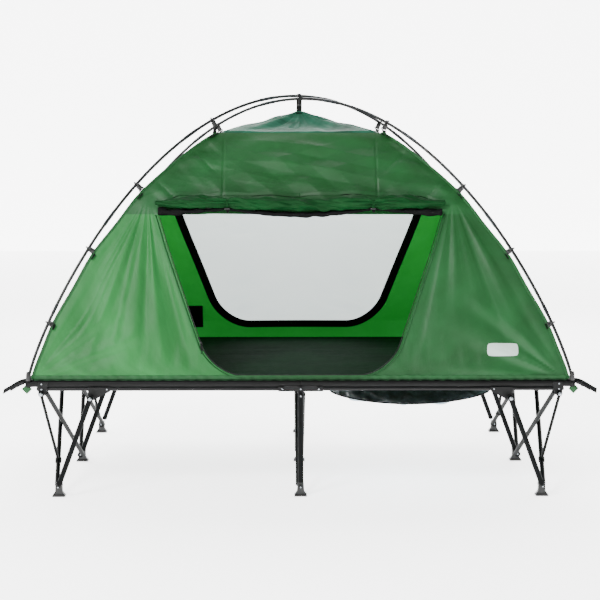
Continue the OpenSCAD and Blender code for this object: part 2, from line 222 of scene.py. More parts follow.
@dataclass(frozen=True)
class Moulded:
    """Injection-moulded nylon: dull black with a spark-eroded grain that softens its gloss."""

    name: str
    colour: str
    light: str
    roughness: float = 0.5
    grain_mm: float = 1.2

    def build(self) -> bpy.types.Material:
        """Builds the material: a grain of small pits over a slow change of colour."""
        material, tree, bsdf = shader(self.name)
        place = add(tree, "ShaderNodeTexCoord").outputs["Object"]
        slow = add(tree, "ShaderNodeTexNoise", {"Scale": 22.0, "Detail": 4.0}, {"Vector": place})
        grain = add(tree, "ShaderNodeTexVoronoi", {"Scale": 1000 / self.grain_mm}, {"Vector": place})
        tint = ramp(tree, slow.outputs["Fac"], [(0.3, self.colour), (0.75, self.light)])
        gloss = add(
            tree,
            "ShaderNodeMapRange",
            {"To Min": self.roughness - 0.06, "To Max": self.roughness + 0.1},
            {"Value": slow.outputs["Fac"]},
        )
        bump = add(
            tree,
            "ShaderNodeBump",
            {"Strength": 0.2, "Distance": 0.0003},
            {"Height": grain.outputs["Distance"]},
        )
        tree.links.new(tint.outputs["Color"], bsdf.inputs["Base Color"])
        tree.links.new(gloss.outputs["Result"], bsdf.inputs["Roughness"])
        tree.links.new(bump.outputs["Normal"], bsdf.inputs["Normal"])
        return material


@dataclass(frozen=True)
class Woven:
    """Woven cloth: threads crossing at right angles, drawn coarse enough to be seen, with unevenly dyed
    colour; on the left front panel's brighter copy its stretched streaks are painted highlight.
    """

    name: str
    colour: str
    light: str
    thread_mm: float = 1.6
    roughness: float = 0.55
    cloud: float = 3.0
    weave_depth: float = 0.22
    specular: float = 0.35
    # Emission in the cloth's own colours: a painted glow that stands in for light shining through it.
    through: float = 0.0
    streak: float = 0.0

    def build(self) -> bpy.types.Material:
        """Builds the material from two crossing thread waves on the cloth's own UV map, in metres."""
        material, tree, bsdf = shader(self.name)
        coords = add(tree, "ShaderNodeTexCoord")
        uv, place = coords.outputs["UV"], coords.outputs["Object"]
        scale = 1000 / self.thread_mm / math.pi
        warp = add(
            tree,
            "ShaderNodeTexWave",
            {"bands_direction": "X", "Scale": scale, "Distortion": 0.4},
            {"Vector": uv},
        )
        weft = add(
            tree,
            "ShaderNodeTexWave",
            {"bands_direction": "Y", "Scale": scale, "Distortion": 0.4},
            {"Vector": uv},
        )
        threads = add(
            tree,
            "ShaderNodeMath",
            {"operation": "MULTIPLY"},
            {0: warp.outputs["Fac"], 1: weft.outputs["Fac"]},
        )
        stretch = add(tree, "ShaderNodeMapping", {"Scale": (1.0, 1.0 + self.streak, 1.0)}, {"Vector": uv})
        # Colour noise: uneven dyeing, and where it is stretched into streaks, painted highlight.
        dye_and_sheen = add(
            tree,
            "ShaderNodeTexNoise",
            {"Scale": self.cloud, "Detail": 6.0, "Roughness": 0.55},
            {"Vector": stretch.outputs[0]},
        )
        crease = add(
            tree, "ShaderNodeTexNoise", {"Scale": 38.0, "Detail": 4.0, "Roughness": 0.6}, {"Vector": place}
        )
        tint = ramp(tree, dye_and_sheen.outputs["Fac"], [(0.3, self.colour), (0.7, self.light)])
        gloss = add(
            tree,
            "ShaderNodeMapRange",
            {"To Min": self.roughness - 0.08, "To Max": self.roughness + 0.1},
            {"Value": crease.outputs["Fac"]},
        )
        folds = add(
            tree,
            "ShaderNodeBump",
            {"Strength": 0.25, "Distance": 0.0022},
            {"Height": crease.outputs["Fac"]},
        )
        weave = add(
            tree,
            "ShaderNodeBump",
            {"Strength": self.weave_depth, "Distance": 0.0005},
            {"Height": threads.outputs[0], "Normal": folds.outputs["Normal"]},
        )
        bsdf.inputs["Specular IOR Level"].default_value = self.specular
        tree.links.new(tint.outputs["Color"], bsdf.inputs["Base Color"])
        tree.links.new(gloss.outputs["Result"], bsdf.inputs["Roughness"])
        tree.links.new(weave.outputs["Normal"], bsdf.inputs["Normal"])
        # Painted glow: the tint is emitted as well, so the cloth shines as if lit through from behind.
        if self.through:
            bsdf.inputs["Emission Strength"].default_value = self.through
            tree.links.new(tint.outputs["Color"], bsdf.inputs["Emission Color"])
        return material


# The tent's taffeta is a thin coated nylon: satin, folded where it is pulled; the light and dark streaks in
# the colour of its left front panel are painted highlight and painted shade.
FINISHES = [
    PowderCoat("powder_coated_rail", "#020303", "#0a0b0c", 0.42, specular=0.2),
    PowderCoat("powder_coated_plate", "#020303", "#08090a", 0.45, specular=0.2),
    PowderCoat("powder_coated_leg", "#010202", "#050708", 0.5, specular=0.08),
    PowderCoat("zinc_plated_rivet", "#8f9499", "#c4c9ce", 0.28, 1.2, 1.0, 0.5),
    PowderCoat("glass_fibre_pole", "#040506", "#0e1112", 0.34, 0.9),
    PowderCoat("ferrule_steel", "#121516", "#303436", 0.3, 0.8, 0.6),
    Moulded("moulded_nylon_foot", "#020303", "#0a0b0b"),
    Moulded("moulded_clip", "#020202", "#070808", 0.5, 0.8),
    Woven("taffeta_green", "#07330f", "#124c22", 1.6, 0.50, specular=0.28),
    Woven("taffeta_ends", "#07330f", "#124c22", 1.6, 0.86, specular=0.05),
    # A brighter copy of taffeta_green for the left front panel: painted light, its colour noise stretched
    # into painted highlight streaks.
    Woven("taffeta_green_painted_lit", "#0e4a1b", "#236b33", 1.6, 0.50, cloud=5.0, streak=-0.8, specular=0.25),
    # A darker copy of taffeta_green for the rolled door: painted shade of the roll's deep folds.
    Woven("taffeta_roll", "#03220b", "#0d3b1a", 1.6, 0.6, cloud=5.0, specular=0.06),
    # A lighter, bluer copy of taffeta_green for the cap: painted highlight of its up-facing slopes over the
    # cloth's uneven colour.
    Woven("taffeta_cap", "#083222", "#2c6650", 1.6, 0.60, cloud=6.0, specular=0.12),
    Woven("taffeta_lit_from_behind", "#1e8a2c", "#2f9c40", 1.6, 0.6, through=0.46, specular=0.1),
    Woven("floor_oxford", "#05160c", "#0c2c18", 2.4, 0.75, cloud=2.5, specular=0.06),
    # The window mesh glows: painted light of the white backdrop seen through it.
    Woven("window_mesh_white", "#e6eef2", "#f7fbfc", 3.0, 0.7, cloud=6.0, through=1.35, streak=9.0),
    Woven("binding_black", "#010101", "#050606", 1.2, 0.75, specular=0.1),
    Woven("rail_sleeve_black", "#020202", "#080909", 1.8, 0.55, specular=0.15),
    Woven("strap_web", "#010202", "#060707", 1.4, 0.65, weave_depth=0.6, specular=0.15),
    # Blue-grey net; the pale stretched streaks in its colour are painted highlights along its wrinkles.
    Woven("gear_net_black", "#3a5361", "#b4cbd6", 4.0, 0.4, cloud=14.0, weave_depth=0.9, streak=-0.7),
    Woven("blank_label", "#9fb0a6", "#b9c6be", 1.6, 0.5),
]


def finish_of(name: str) -> bpy.types.Material:
    """The built material of that name."""
    return bpy.data.materials[name]


# ---- meshes ----


def lattice(x: Array, y: Array, seed: float) -> Array:
    """Smooth random values from 0 to 1 over a plane, the same at each run.

    Args:
        x: Places along the first way, in cells.
        y: Places along the second way, in cells.
        seed: Tells one pattern from another.

    Returns:
        One value for each place.
    """

    def corner(i: Array, j: Array) -> Array:
        """A fixed random value for a cell's corner."""
        return np.mod(np.sin(i * 127.1 + j * 311.7 + seed * 74.7) * 43758.5453, 1.0)

    i, j = np.floor(x), np.floor(y)
    s, t = x - i, y - j
    s, t = s * s * s * (s * (6 * s - 15) + 10), t * t * t * (t * (6 * t - 15) + 10)
    low = corner(i, j) * (1 - s) + corner(i + 1, j) * s
    high = corner(i, j + 1) * (1 - s) + corner(i + 1, j + 1) * s
    return low * (1 - t) + high * t


def crumple(x: Array, y: Array, size: float, seed: float) -> Array:
    """Sharp creases with soft fields between them, as in thin cloth that was rolled up.

    Args:
        x: Places along the first way, in metres.
        y: Places along the second way, in metres.
        size: Size of the largest fields, in metres.
        seed: Tells one pattern from another.

    Returns:
        Heights from 0 at a crease to about 1.
    """
    turned = (0.8 * x - 0.6 * y) / size, (0.6 * x + 0.8 * y) / size
    first = np.abs(2 * lattice(turned[0], turned[1], seed) - 1)
    second = np.abs(2 * lattice(2.3 * turned[0] + first, 1.9 * turned[1] - first, seed + 3) - 1)
    return 0.65 * first + 0.35 * second


def creases(x: Array, y: Array, size: float, seed: float) -> Array:
    """Straight creases in several directions, each fading in and out.

    Args:
        x: Places along the first way, in metres.
        y: Places along the second way, in metres.
        size: Typical distance between two creases, in metres.
        seed: Tells one pattern from another.

    Returns:
        Heights between about -0.5 and 0.5.
    """
    total = np.zeros(np.broadcast(x, y).shape)
    for k in range(6):
        turn = 0.5 + 2.3999 * k + 0.31 * seed
        span = size * (0.75 + 0.45 * math.sin(3.1 * k + seed) ** 2)
        bow = 0.5 * lattice(x / (2.2 * size), y / (2.2 * size), seed + k)
        t = (x * math.cos(turn) + y * math.sin(turn)) / span + bow + 0.37 * k
        ridge = np.abs(2 * (t - np.floor(t)) - 1)
        ridge = np.sqrt(ridge**2 + 0.004)
        total = total + (ridge - 0.5) * lattice(x / (1.7 * size) + 9, y / (1.7 * size), seed + 20 + k) ** 2
    return total


def mesh_object(
    name: str, points: Array, faces: list, materials: list[str], uv: Array | None = None
) -> bpy.types.Object:
    """Makes a smooth-shaded object from points and faces.

    Args:
        name: The piece's name.
        points: One row of three numbers for each point.
        faces: Point numbers for each face.
        materials: Names of its materials; the first is on every face.
        uv: One pair for each point, in metres.

    Returns:
        The object, linked to the scene.
    """
    mesh = bpy.data.meshes.new(name)
    mesh.from_pydata([tuple(map(float, p)) for p in points], [], faces)
    if uv is not None:
        layer = mesh.uv_layers.new(name="cloth")
        corners = np.empty(len(mesh.loops), int)
        mesh.loops.foreach_get("vertex_index", corners)
        layer.data.foreach_set("uv", np.asarray(uv, float)[corners].ravel())
    mesh.shade_smooth()
    for material in materials:
        mesh.materials.append(finish_of(material))
    obj = bpy.data.objects.new(name, mesh)
    bpy.context.collection.objects.link(obj)
    return obj


@dataclass
class Cloth:
    """One sheet of cloth over a grid, made as an outer face, an inner face and a narrow rim."""

    name: str
    form: Callable[[Array, Array], Array]
    across: Array
    along: Array
    outer: str
    inner: str
    thickness: float = 0.0012
    centre: tuple[float, float, float] = (0.0, 0.0, 0.6)

    def build(self) -> tuple[bpy.types.Object, tuple[float, float], float]:
        """Builds the sheet, with normals from its own form so that two sheets shade as one at a seam.

        Returns:
            The object, its width and length laid flat, and its area.
        """
        u, v = np.meshgrid(self.across, self.along)
        step = 1e-4
        p = self.form(u, v)
        across = self.form(u + step, v) - self.form(u - step, v)
        along = self.form(u, v + step) - self.form(u, v - step)
        n = np.cross(across, along)
        n /= np.maximum(np.linalg.norm(n, axis=-1, keepdims=True), 1e-12)
        outward = float(((p - np.array(self.centre)) * n).sum())
        if outward < 0:
            n = -n
        rows, cols = u.shape
        width = np.linalg.norm(np.diff(p, axis=1), axis=-1).sum(1).max()
        length = np.linalg.norm(np.diff(p, axis=0), axis=-1).sum(0).max()
        ids = np.arange(rows * cols).reshape(rows, cols)
        quads = np.stack([ids[:-1, :-1], ids[:-1, 1:], ids[1:, 1:], ids[1:, :-1]], -1).reshape(-1, 4)
        if outward < 0:
            quads = quads[:, ::-1]
        flat_p, flat_n = p.reshape(-1, 3), n.reshape(-1, 3)
        a, b, c, d = (flat_p[quads[:, k]] for k in range(4))
        area = 0.5 * np.linalg.norm(np.cross(c - a, d - b), axis=1).sum()
        total = rows * cols
        rim = [*ids[0, :], *ids[1:, -1], *ids[-1, -2::-1], *ids[-2:0:-1, 0]]
        rim = rim[::-1] if outward < 0 else rim
        edge = [(int(r), int(q), int(q) + total, int(r) + total) for q, r in zip(rim, rim[1:] + rim[:1])]
        faces = [tuple(map(int, q)) for q in quads] + [
            tuple(int(k) + total for k in q[::-1]) for q in quads
        ] + edge
        points = np.vstack([flat_p, flat_p - flat_n * self.thickness])
        gaps_u = np.linalg.norm(np.diff(p, axis=1, prepend=p[:, :1]), axis=-1).cumsum(1)
        gaps_v = np.linalg.norm(np.diff(p, axis=0, prepend=p[:1]), axis=-1).cumsum(0)
        uv = np.stack([gaps_u, gaps_v], -1).reshape(-1, 2)
        obj = mesh_object(self.name, points, faces, [self.outer, self.inner], np.vstack([uv, uv]))
        count = len(quads)
        index = np.zeros(len(faces), int)
        index[count : 2 * count] = 1
        obj.data.polygons.foreach_set("material_index", index)
        normals = np.vstack([flat_n, -flat_n])
        obj.data.normals_split_custom_set_from_vertices([tuple(map(float, k)) for k in normals])
        return obj, (float(width), float(length)), float(area)


def group(name: str, inputs: dict[str, str]) -> tuple[bpy.types.NodeTree, bpy.types.Node, bpy.types.Node]:
    """Makes an empty Geometry Nodes tree with named inputs.

    Args:
        name: The tree's name.
        inputs: Input name to socket type.

    Returns:
        The tree, its input node and its output node.
    """
    tree = bpy.data.node_groups.new(name, "GeometryNodeTree")
    tree.interface.new_socket("Geometry", in_out="INPUT", socket_type="NodeSocketGeometry")
    for key, kind in inputs.items():
        tree.interface.new_socket(key, in_out="INPUT", socket_type=kind)
    tree.interface.new_socket("Geometry", in_out="OUTPUT", socket_type="NodeSocketGeometry")
    return tree, tree.nodes.new("NodeGroupInput"), tree.nodes.new("NodeGroupOutput")


def run_nodes(
    obj: bpy.types.Object, tree: bpy.types.NodeTree, values: dict[str, object]
) -> bpy.types.Object:
    """Runs a tree on an object and keeps the result as a plain mesh.

    Args:
        obj: Carries the path or the points; it is removed.
        tree: The tree to run.
        values: Input name to value.

    Returns:
        A mesh object with the same name.
    """
    modifier = obj.modifiers.new("nodes", "NODES")
    modifier.node_group = tree
    for item in tree.interface.items_tree:
        if item.in_out == "INPUT" and item.name in values:
            modifier[item.identifier] = values[item.name]
    evaluated = obj.evaluated_get(bpy.context.evaluated_depsgraph_get())
    mesh = bpy.data.meshes.new_from_object(evaluated)
    name = obj.name
    bpy.data.objects.remove(obj)
    mesh.name = name
    made = bpy.data.objects.new(name, mesh)
    bpy.context.collection.objects.link(made)
    return made


def tube_tree() -> bpy.types.NodeTree:
    """A tree that sweeps a round tube along a path, with closed ends and its own material."""
    tree, start, end = group(
        "tube_on_path",
        {"Radius": "NodeSocketFloat", "Sides": "NodeSocketInt", "Material": "NodeSocketMaterial"},
    )
    curve = add(tree, "GeometryNodeMeshToCurve", links={"Mesh": start.outputs["Geometry"]})
    circle = add(
        tree,
        "GeometryNodeCurvePrimitiveCircle",
        links={"Radius": start.outputs["Radius"], "Resolution": start.outputs["Sides"]},
    )
    swept = add(
        tree,
        "GeometryNodeCurveToMesh",
        {"Fill Caps": True},
        {"Curve": curve.outputs["Curve"], "Profile Curve": circle.outputs["Curve"]},
    )
    smooth = add(tree, "GeometryNodeSetShadeSmooth", links={"Geometry": swept.outputs["Mesh"]})
    real = add(tree, "GeometryNodeRealizeInstances", links={"Geometry": smooth.outputs["Geometry"]})
    dressed = add(
        tree,
        "GeometryNodeSetMaterial",
        links={"Geometry": real.outputs["Geometry"], "Material": start.outputs["Material"]},
    )
    tree.links.new(dressed.outputs["Geometry"], end.inputs["Geometry"])
    return tree


def repeat_tree() -> bpy.types.NodeTree:
    """A tree that puts a block on every point of a path, turned along the path."""
    tree, start, end = group(
        "blocks_on_path",
        {
            "Size": "NodeSocketVector",
            "Spacing": "NodeSocketFloat",
            "Material": "NodeSocketMaterial",
        },
    )
    curve = add(tree, "GeometryNodeMeshToCurve", links={"Mesh": start.outputs["Geometry"]})
    points = add(
        tree,
        "GeometryNodeCurveToPoints",
        {"mode": "LENGTH"},
        {"Curve": curve.outputs["Curve"], "Length": start.outputs["Spacing"]},
    )
    block = add(tree, "GeometryNodeMeshCube", links={"Size": start.outputs["Size"]})
    put = add(
        tree,
        "GeometryNodeInstanceOnPoints",
        links={
            "Points": points.outputs["Points"],
            "Instance": block.outputs["Mesh"],
            "Rotation": points.outputs["Rotation"],
        },
    )
    real = add(tree, "GeometryNodeRealizeInstances", links={"Geometry": put.outputs["Instances"]})
    dressed = add(
        tree,
        "GeometryNodeSetMaterial",
        links={"Geometry": real.outputs["Geometry"], "Material": start.outputs["Material"]},
    )
    tree.links.new(dressed.outputs["Geometry"], end.inputs["Geometry"])
    return tree


def path_object(name: str, paths: list[Array]) -> bpy.types.Object:
    """Makes an object of edges only, one run for each path."""
    points = [tuple(map(float, p)) for path in paths for p in path]
    edges, at = [], 0
    for path in paths:
        edges += [(at + k, at + k + 1) for k in range(len(path) - 1)]
        at += len(path)
    mesh = bpy.data.meshes.new(name)
    mesh.from_pydata(points, edges, [])
    obj = bpy.data.objects.new(name, mesh)
    bpy.context.collection.objects.link(obj)
    return obj


def tubes(name: str, paths: list[Array], radius: float, finish: str, sides: int = 12) -> bpy.types.Object:
    """Sweeps a round tube along each path.

    Args:
        name: The piece's name.
        paths: Rows of points, in metres.
        radius: The tube's radius.
        finish: Name of its material.
        sides: Number of sides of the tube.

    Returns:
        The mesh object.
    """
    values = {"Radius": radius, "Sides": sides, "Material": finish_of(finish)}
    return run_nodes(path_object(name, paths), bpy.data.node_groups["tube_on_path"], values)


def blocks(name: str, paths: list[Array], size: tuple, spacing: float, finish: str) -> bpy.types.Object:
    """Sets small blocks along each path, such as stitches or zip teeth.

    Args:
        name: The piece's name.
        paths: Rows of points, in metres.
        size: The block's size; Z runs along the path.
        spacing: Distance between two blocks.
        finish: Name of its material.

    Returns:
        The mesh object.
    """
    values = {"Size": size, "Spacing": spacing, "Material": finish_of(finish)}
    return run_nodes(path_object(name, paths), bpy.data.node_groups["blocks_on_path"], values)


def ribbon(name: str, path: Array, wide: Array, half: float, thick: float, finish: str) -> bpy.types.Object:
    """Makes a flat strap with rounded edges along a path.

    Args:
        name: The piece's name.
        path: Points along its middle.
        wide: The way across the strap at each point, or one way for all.
        half: Half its width.
        thick: Its thickness.
        finish: Name of its material.

    Returns:
        The mesh object.
    """
    wide = np.broadcast_to(np.asarray(wide, float), path.shape)
    wide = wide / np.linalg.norm(wide, axis=1, keepdims=True)
    way = np.gradient(path, axis=0)
    up = np.cross(way, wide)
    up /= np.maximum(np.linalg.norm(up, axis=1, keepdims=True), 1e-9)
    turn = np.linspace(0, 2 * math.pi, 13)[:-1]
    ring = [
        (
            math.copysign(abs(math.cos(a)) ** 0.35, math.cos(a)),
            math.copysign(abs(math.sin(a)) ** 0.6, math.sin(a)),
        )
        for a in turn
    ]
    k = len(ring)
    points = np.concatenate(
        [p + half * c * w + thick / 2 * s * n for p, w, n in zip(path, wide, up) for c, s in ring]
    )
    points = points.reshape(-1, 3)
    n = len(path)
    faces = [
        (i * k + j, i * k + (j + 1) % k, (i + 1) * k + (j + 1) % k, (i + 1) * k + j)
        for i in range(n - 1) for j in range(k)
    ]
    faces += [tuple(range(k))[::-1], tuple((n - 1) * k + j for j in range(k))]
    run = np.concatenate([[0], np.linalg.norm(np.diff(path, axis=0), axis=1).cumsum()])
    uv = np.array([(half * c, run[i]) for i in range(n) for c, _ in ring])
    return mesh_object(name, points, faces, [finish], uv)


def join(name: str, parts: list[bpy.types.Object]) -> bpy.types.Object:
    """Joins objects into one, under a new name."""
    for other in bpy.context.selected_objects:
        other.select_set(False)
    for part in parts:
        part.select_set(True)
    bpy.context.view_layer.objects.active = parts[0]
    bpy.ops.object.join()
    parts[0].name = name
    parts[0].data.name = name
    return parts[0]


# ---- the tent's shape ----


def ease(t: Array) -> Array:
    """A smooth step from 0 to 1."""
    t = np.clip(t, 0.0, 1.0)
    return t * t * (3 - 2 * t)


@dataclass(frozen=True)
class TentForm:
    """The shape that walls, cap, door and poles share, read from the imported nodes."""

    base_x: float
    base_y: float
    base_z: float
    rise: float
    pole_top: float
    door_z: float
    door_top: float
    bend: float = 0.82
    brim: float = 0.325
    cap_lift: float = 0.087
    door_half: float = 0.340
    door_corner: float = 0.120
    flare: float = 0.366
    pole_out_x: float = 0.017
    pole_out_y: float = 0.011
    pole_drop: float = 0.012
    pole_r: float = 0.0055
    clip_places: tuple[float, ...] = (0.34, 0.62, 0.79, 0.93)
    slack: tuple[float, ...] = (0.0, 0.013, 0.010, 0.007, 0.003)

    @classmethod
    def read(cls) -> TentForm:
        """Reads the base, the rise and the door's height from the nodes' boxes."""
        low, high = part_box("wall_front_left")
        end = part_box("wall_end_left")[0]
        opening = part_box("window_left")
        return cls(
            base_x=-end.x,
            base_y=-low.y,
            base_z=low.z,
            rise=(high.z - low.z) / (1 - cls.brim**2) ** cls.bend,
            pole_top=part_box("pole_front_left")[1].z - cls.pole_r,
            door_z=opening[0].z - 0.001,
            door_top=opening[1].z + 0.001,
        )

    @property
    def wall_top(self) -> float:
        """Height of the walls' top edge, where the cap begins."""
        return float(self.height(np.array(self.brim)))

    def share(self, z: Array) -> Array:
        """Size of the tent at a height, as a share of its base."""
        t = np.clip((np.asarray(z, float) - self.base_z) / self.rise, 0.0, 1.0)
        return np.sqrt(1 - t ** (1 / self.bend))

    def height(self, s: Array) -> Array:
        """Height at which the tent has this share of its base."""
        return self.base_z + self.rise * (1 - np.asarray(s, float) ** 2) ** self.bend

    def sag(self, s: Array) -> Array:
        """How far the ridge hangs in from the pole between two clips, as a share."""
        place = np.interp(s, (self.brim, *self.clip_places, 1.0), np.arange(6))
        k = np.clip(place.astype(int), 0, 4)
        return np.array(self.slack)[k] * np.sin(np.pi * (place - k)) ** 2

    def door_w(self, z: Array, sill: float, half: float) -> Array:
        """Half width of an opening at a height.

        Args:
            z: Heights from the sill up.
            sill: Height of the opening's lower edge.
            half: Half its width at the sill, before its corners are rounded.

        Returns:
            Half widths, with the lower corners rounded.
        """
        z = np.asarray(z, float)
        left = np.clip(sill + self.door_corner - z, 0.0, self.door_corner)
        return half + self.flare * (z - sill) - self.door_corner + np.sqrt(self.door_corner**2 - left**2)

    def folds(self, x: Array, z: Array, end: End) -> Array:
        """How far the cloth of a long wall stands out of its smooth form.

        Args:
            x: Places along the cot.
            z: Heights.
            end: The front or the back wall.

        Returns:
            Distances outward, in metres.
        """
        up = z - self.base_z
        if end is End.BACK:
            soft = 0.006 * (2 * lattice(x / 0.30, z / 0.55, 21) - 1)
            return soft + 0.003 * crumple(x, z, 0.22, 23) * ease((up - 0.55) / 0.15)
        top = ease((up - 0.60) / 0.09)
        fans = self.fan(x, up, Side.LEFT, 0.0125) + self.fan(x, up, Side.RIGHT, 0.0055)
        seams = np.exp(-(((np.abs(x) - 0.305) / 0.0045) ** 2))
        broad = 2 * lattice(x / 0.24 + 0.5 * up, up / 0.11, 31) - 1
        flatter = creases(0.8 * x, 1.7 * up, 0.17, 35)
        crumpled = 0.0065 * broad + 0.0100 * flatter - 0.0024 * seams
        cross = np.abs(2 * lattice((np.abs(x) - 1.1 * up) / 0.055, (up + 0.9 * np.abs(x)) / 0.40, 37) - 1)
        crumpled += 0.006 * (cross - 0.5) * ease((np.abs(x) - 0.26) / 0.12)
        return fans * (1 - top) + crumpled * top

    def fan(self, x: Array, up: Array, side: Side, deep: float) -> Array:
        """Folds that spread down from the end of the rolled door and up from the deck's corner.

        Args:
            x: Places along the cot.
            up: Heights above the walls' lower edge.
            side: The side whose panel is folded.
            deep: Depth of the deepest fold.

        Returns:
            Distances outward, in metres.
        """
        out = side.value * x
        run = np.hypot(out - 0.60, 0.70 - up)
        turn = np.arctan2(out - 0.60, np.maximum(0.70 - up, 1e-6))
        seed = 4 + side.value
        wide = np.sin(turn * 15 + 3.4 * lattice(turn * 5, run * 1.6, seed))
        folds = 0.55 * wide + 1.0 * (2 * lattice(turn * 8.5, run * 1.1 + 3, seed + 2) - 1)
        folds += 0.45 * (2 * lattice(turn * 19, run * 2.0, seed + 4) - 1) * lattice(
            turn * 6, run * 2, seed + 6
        )
        upper = deep * folds * ease(run / 0.30) * ease(up / 0.17) * (
            0.45 + 0.55 * np.exp(-((turn + 0.05) ** 2) / 0.16)
        )
        far = np.hypot(self.base_x - out, up)
        rise = np.arctan2(up, np.maximum(self.base_x - out, 1e-6))
        rays = np.sin(rise * 17 + 2 * lattice(rise * 4, far * 3, seed + 8)) * (
            0.3 + lattice(rise * 9, far / 0.25, seed + 10)
        )
        lower = 0.0065 * rays * ease(far / 0.16) * (1 - ease((far - 0.20) / 0.42))
        ripple = 0.0035 * (2 * lattice(out / 0.035, up / 0.10, seed + 12) - 1) * np.exp(-((up / 0.15) ** 2))
        return (upper + lower + ripple) * ease(out / 0.28)

    def wall(self, q: Array, z: Array, end: End) -> Array:
        """Points of a long wall.

        Args:
            q: Places across the wall, -1 at the left ridge and 1 at the right one.
            z: Heights.
            end: The front or the back wall.

        Returns:
            Points, three numbers each.
        """
        s = self.share(z)
        in_by = 1 - self.sag(s) * ease((np.abs(q) - 0.45) / 0.55)
        x, y = q * self.base_x * s * in_by, self.base_y * s * in_by
        slope = (self.share(z - 0.002) - self.share(z + 0.002)) / 0.004 * self.base_y
        out = self.folds(x, z, end) * ease((1 - np.abs(q)) / 0.10) * ease((z - self.base_z) / 0.05)
        out *= ease((self.wall_top - z) / 0.06)
        n = np.sqrt(1 + slope**2)
        return np.stack([x, end.value * (y + out / n), z + out * slope / n], -1)

    def end_wall(self, p: Array, z: Array, side: Side) -> Array:
        """Points of the wall at one end of the deck.

        Args:
            p: Places across the wall, -1 at the front ridge and 1 at the back one.
            z: Heights.
            side: The end of the deck.

        Returns:
            Points, three numbers each.
        """
        s = self.share(z)
        in_by = 1 - self.sag(s) * ease((np.abs(p) - 0.45) / 0.55)
        x, y = self.base_x * s * in_by, p * self.base_y * s * in_by
        up = z - self.base_z
        seed = 41 + side.value
        out = 0.007 * (2 * lattice(y / 0.22, up / 0.6, seed) - 1) + 0.003 * crumple(y, z, 0.25, seed + 4)
        out = out * ease((1 - np.abs(p)) / 0.12) * ease(up / 0.05) * ease((self.wall_top - z) / 0.06)
        slope = (self.share(z - 0.002) - self.share(z + 0.002)) / 0.004 * self.base_x
        n = np.sqrt(1 + slope**2)
        return np.stack([side.value * (x + out / n), y, z + out * slope / n], -1)

    def cap(self, turn: Array, s: Array) -> Array:
        """Points of the peaked cap.

        Args:
            turn: Angles round the cap, 0 towards +X.
            s: 1 at the brim, 0 at the peak.

        Returns:
            Points, three numbers each.
        """
        c, d = np.cos(turn), np.sin(turn)
        reach = (np.abs(c) ** 10 + np.abs(d) ** 10) ** -0.1
        x, y = c * reach * (self.base_x * self.brim + 0.006), d * reach * (self.base_y * self.brim + 0.006)
        corner = ease((reach - 1.0) / 0.36)
        flat = (self.cap_lift + 0.003) * np.maximum(1 - s, 0.0) ** 1.1 - 0.016 * (1 - corner) * np.sin(
            np.pi * s
        )
        creases = 0.007 * (2 * lattice(turn * 4.2, s * 2.6, 51) - 1) * np.sin(np.pi * np.clip(s, 0, 1))
        creases += 0.004 * (2 * lattice(turn * 9 + 2 * s, s * 4, 53) - 1) * np.sin(np.pi * np.clip(s, 0, 1))
        skirt = -0.016 * ease((s - 0.93) / 0.07)
        k = np.minimum(s, 0.985)
        return np.stack([x * k, y * k, self.wall_top + 0.004 + flat + creases + skirt], -1)

    def pole(self, r: Array, side: Side, end: End) -> Array:
        """Points on a pole's middle line.

        Args:
            r: 0 at the crossing, 1 at the deck's corner.
            side: The side that the corner is on.
            end: The front or the back corner.

        Returns:
            Points, three numbers each.
        """
        r = np.asarray(r, float)
        over = (side is Side.LEFT) == (end is End.FRONT)
        top = self.pole_top - self.base_z - 0.001 - (0.0 if over else self.pole_drop)
        z = self.base_z + 0.001 + top * (1 - r**2) ** self.bend
        across = side.value * (self.base_x + self.pole_out_x) * r
        return np.stack([across, end.value * (self.base_y + self.pole_out_y) * r, z], -1)


def settle(obj: bpy.types.Object, side: Side, nodes: tuple[str, ...] = ()) -> bpy.types.Object:
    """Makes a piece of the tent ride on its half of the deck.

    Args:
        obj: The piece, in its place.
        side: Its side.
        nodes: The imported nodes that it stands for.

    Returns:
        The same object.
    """
    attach(obj, side.half)
    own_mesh(obj)
    if nodes:
        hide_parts(*nodes)
    LOG.info("%s on %s", obj.name, side.half)
    return obj


# ---- steel frame ----


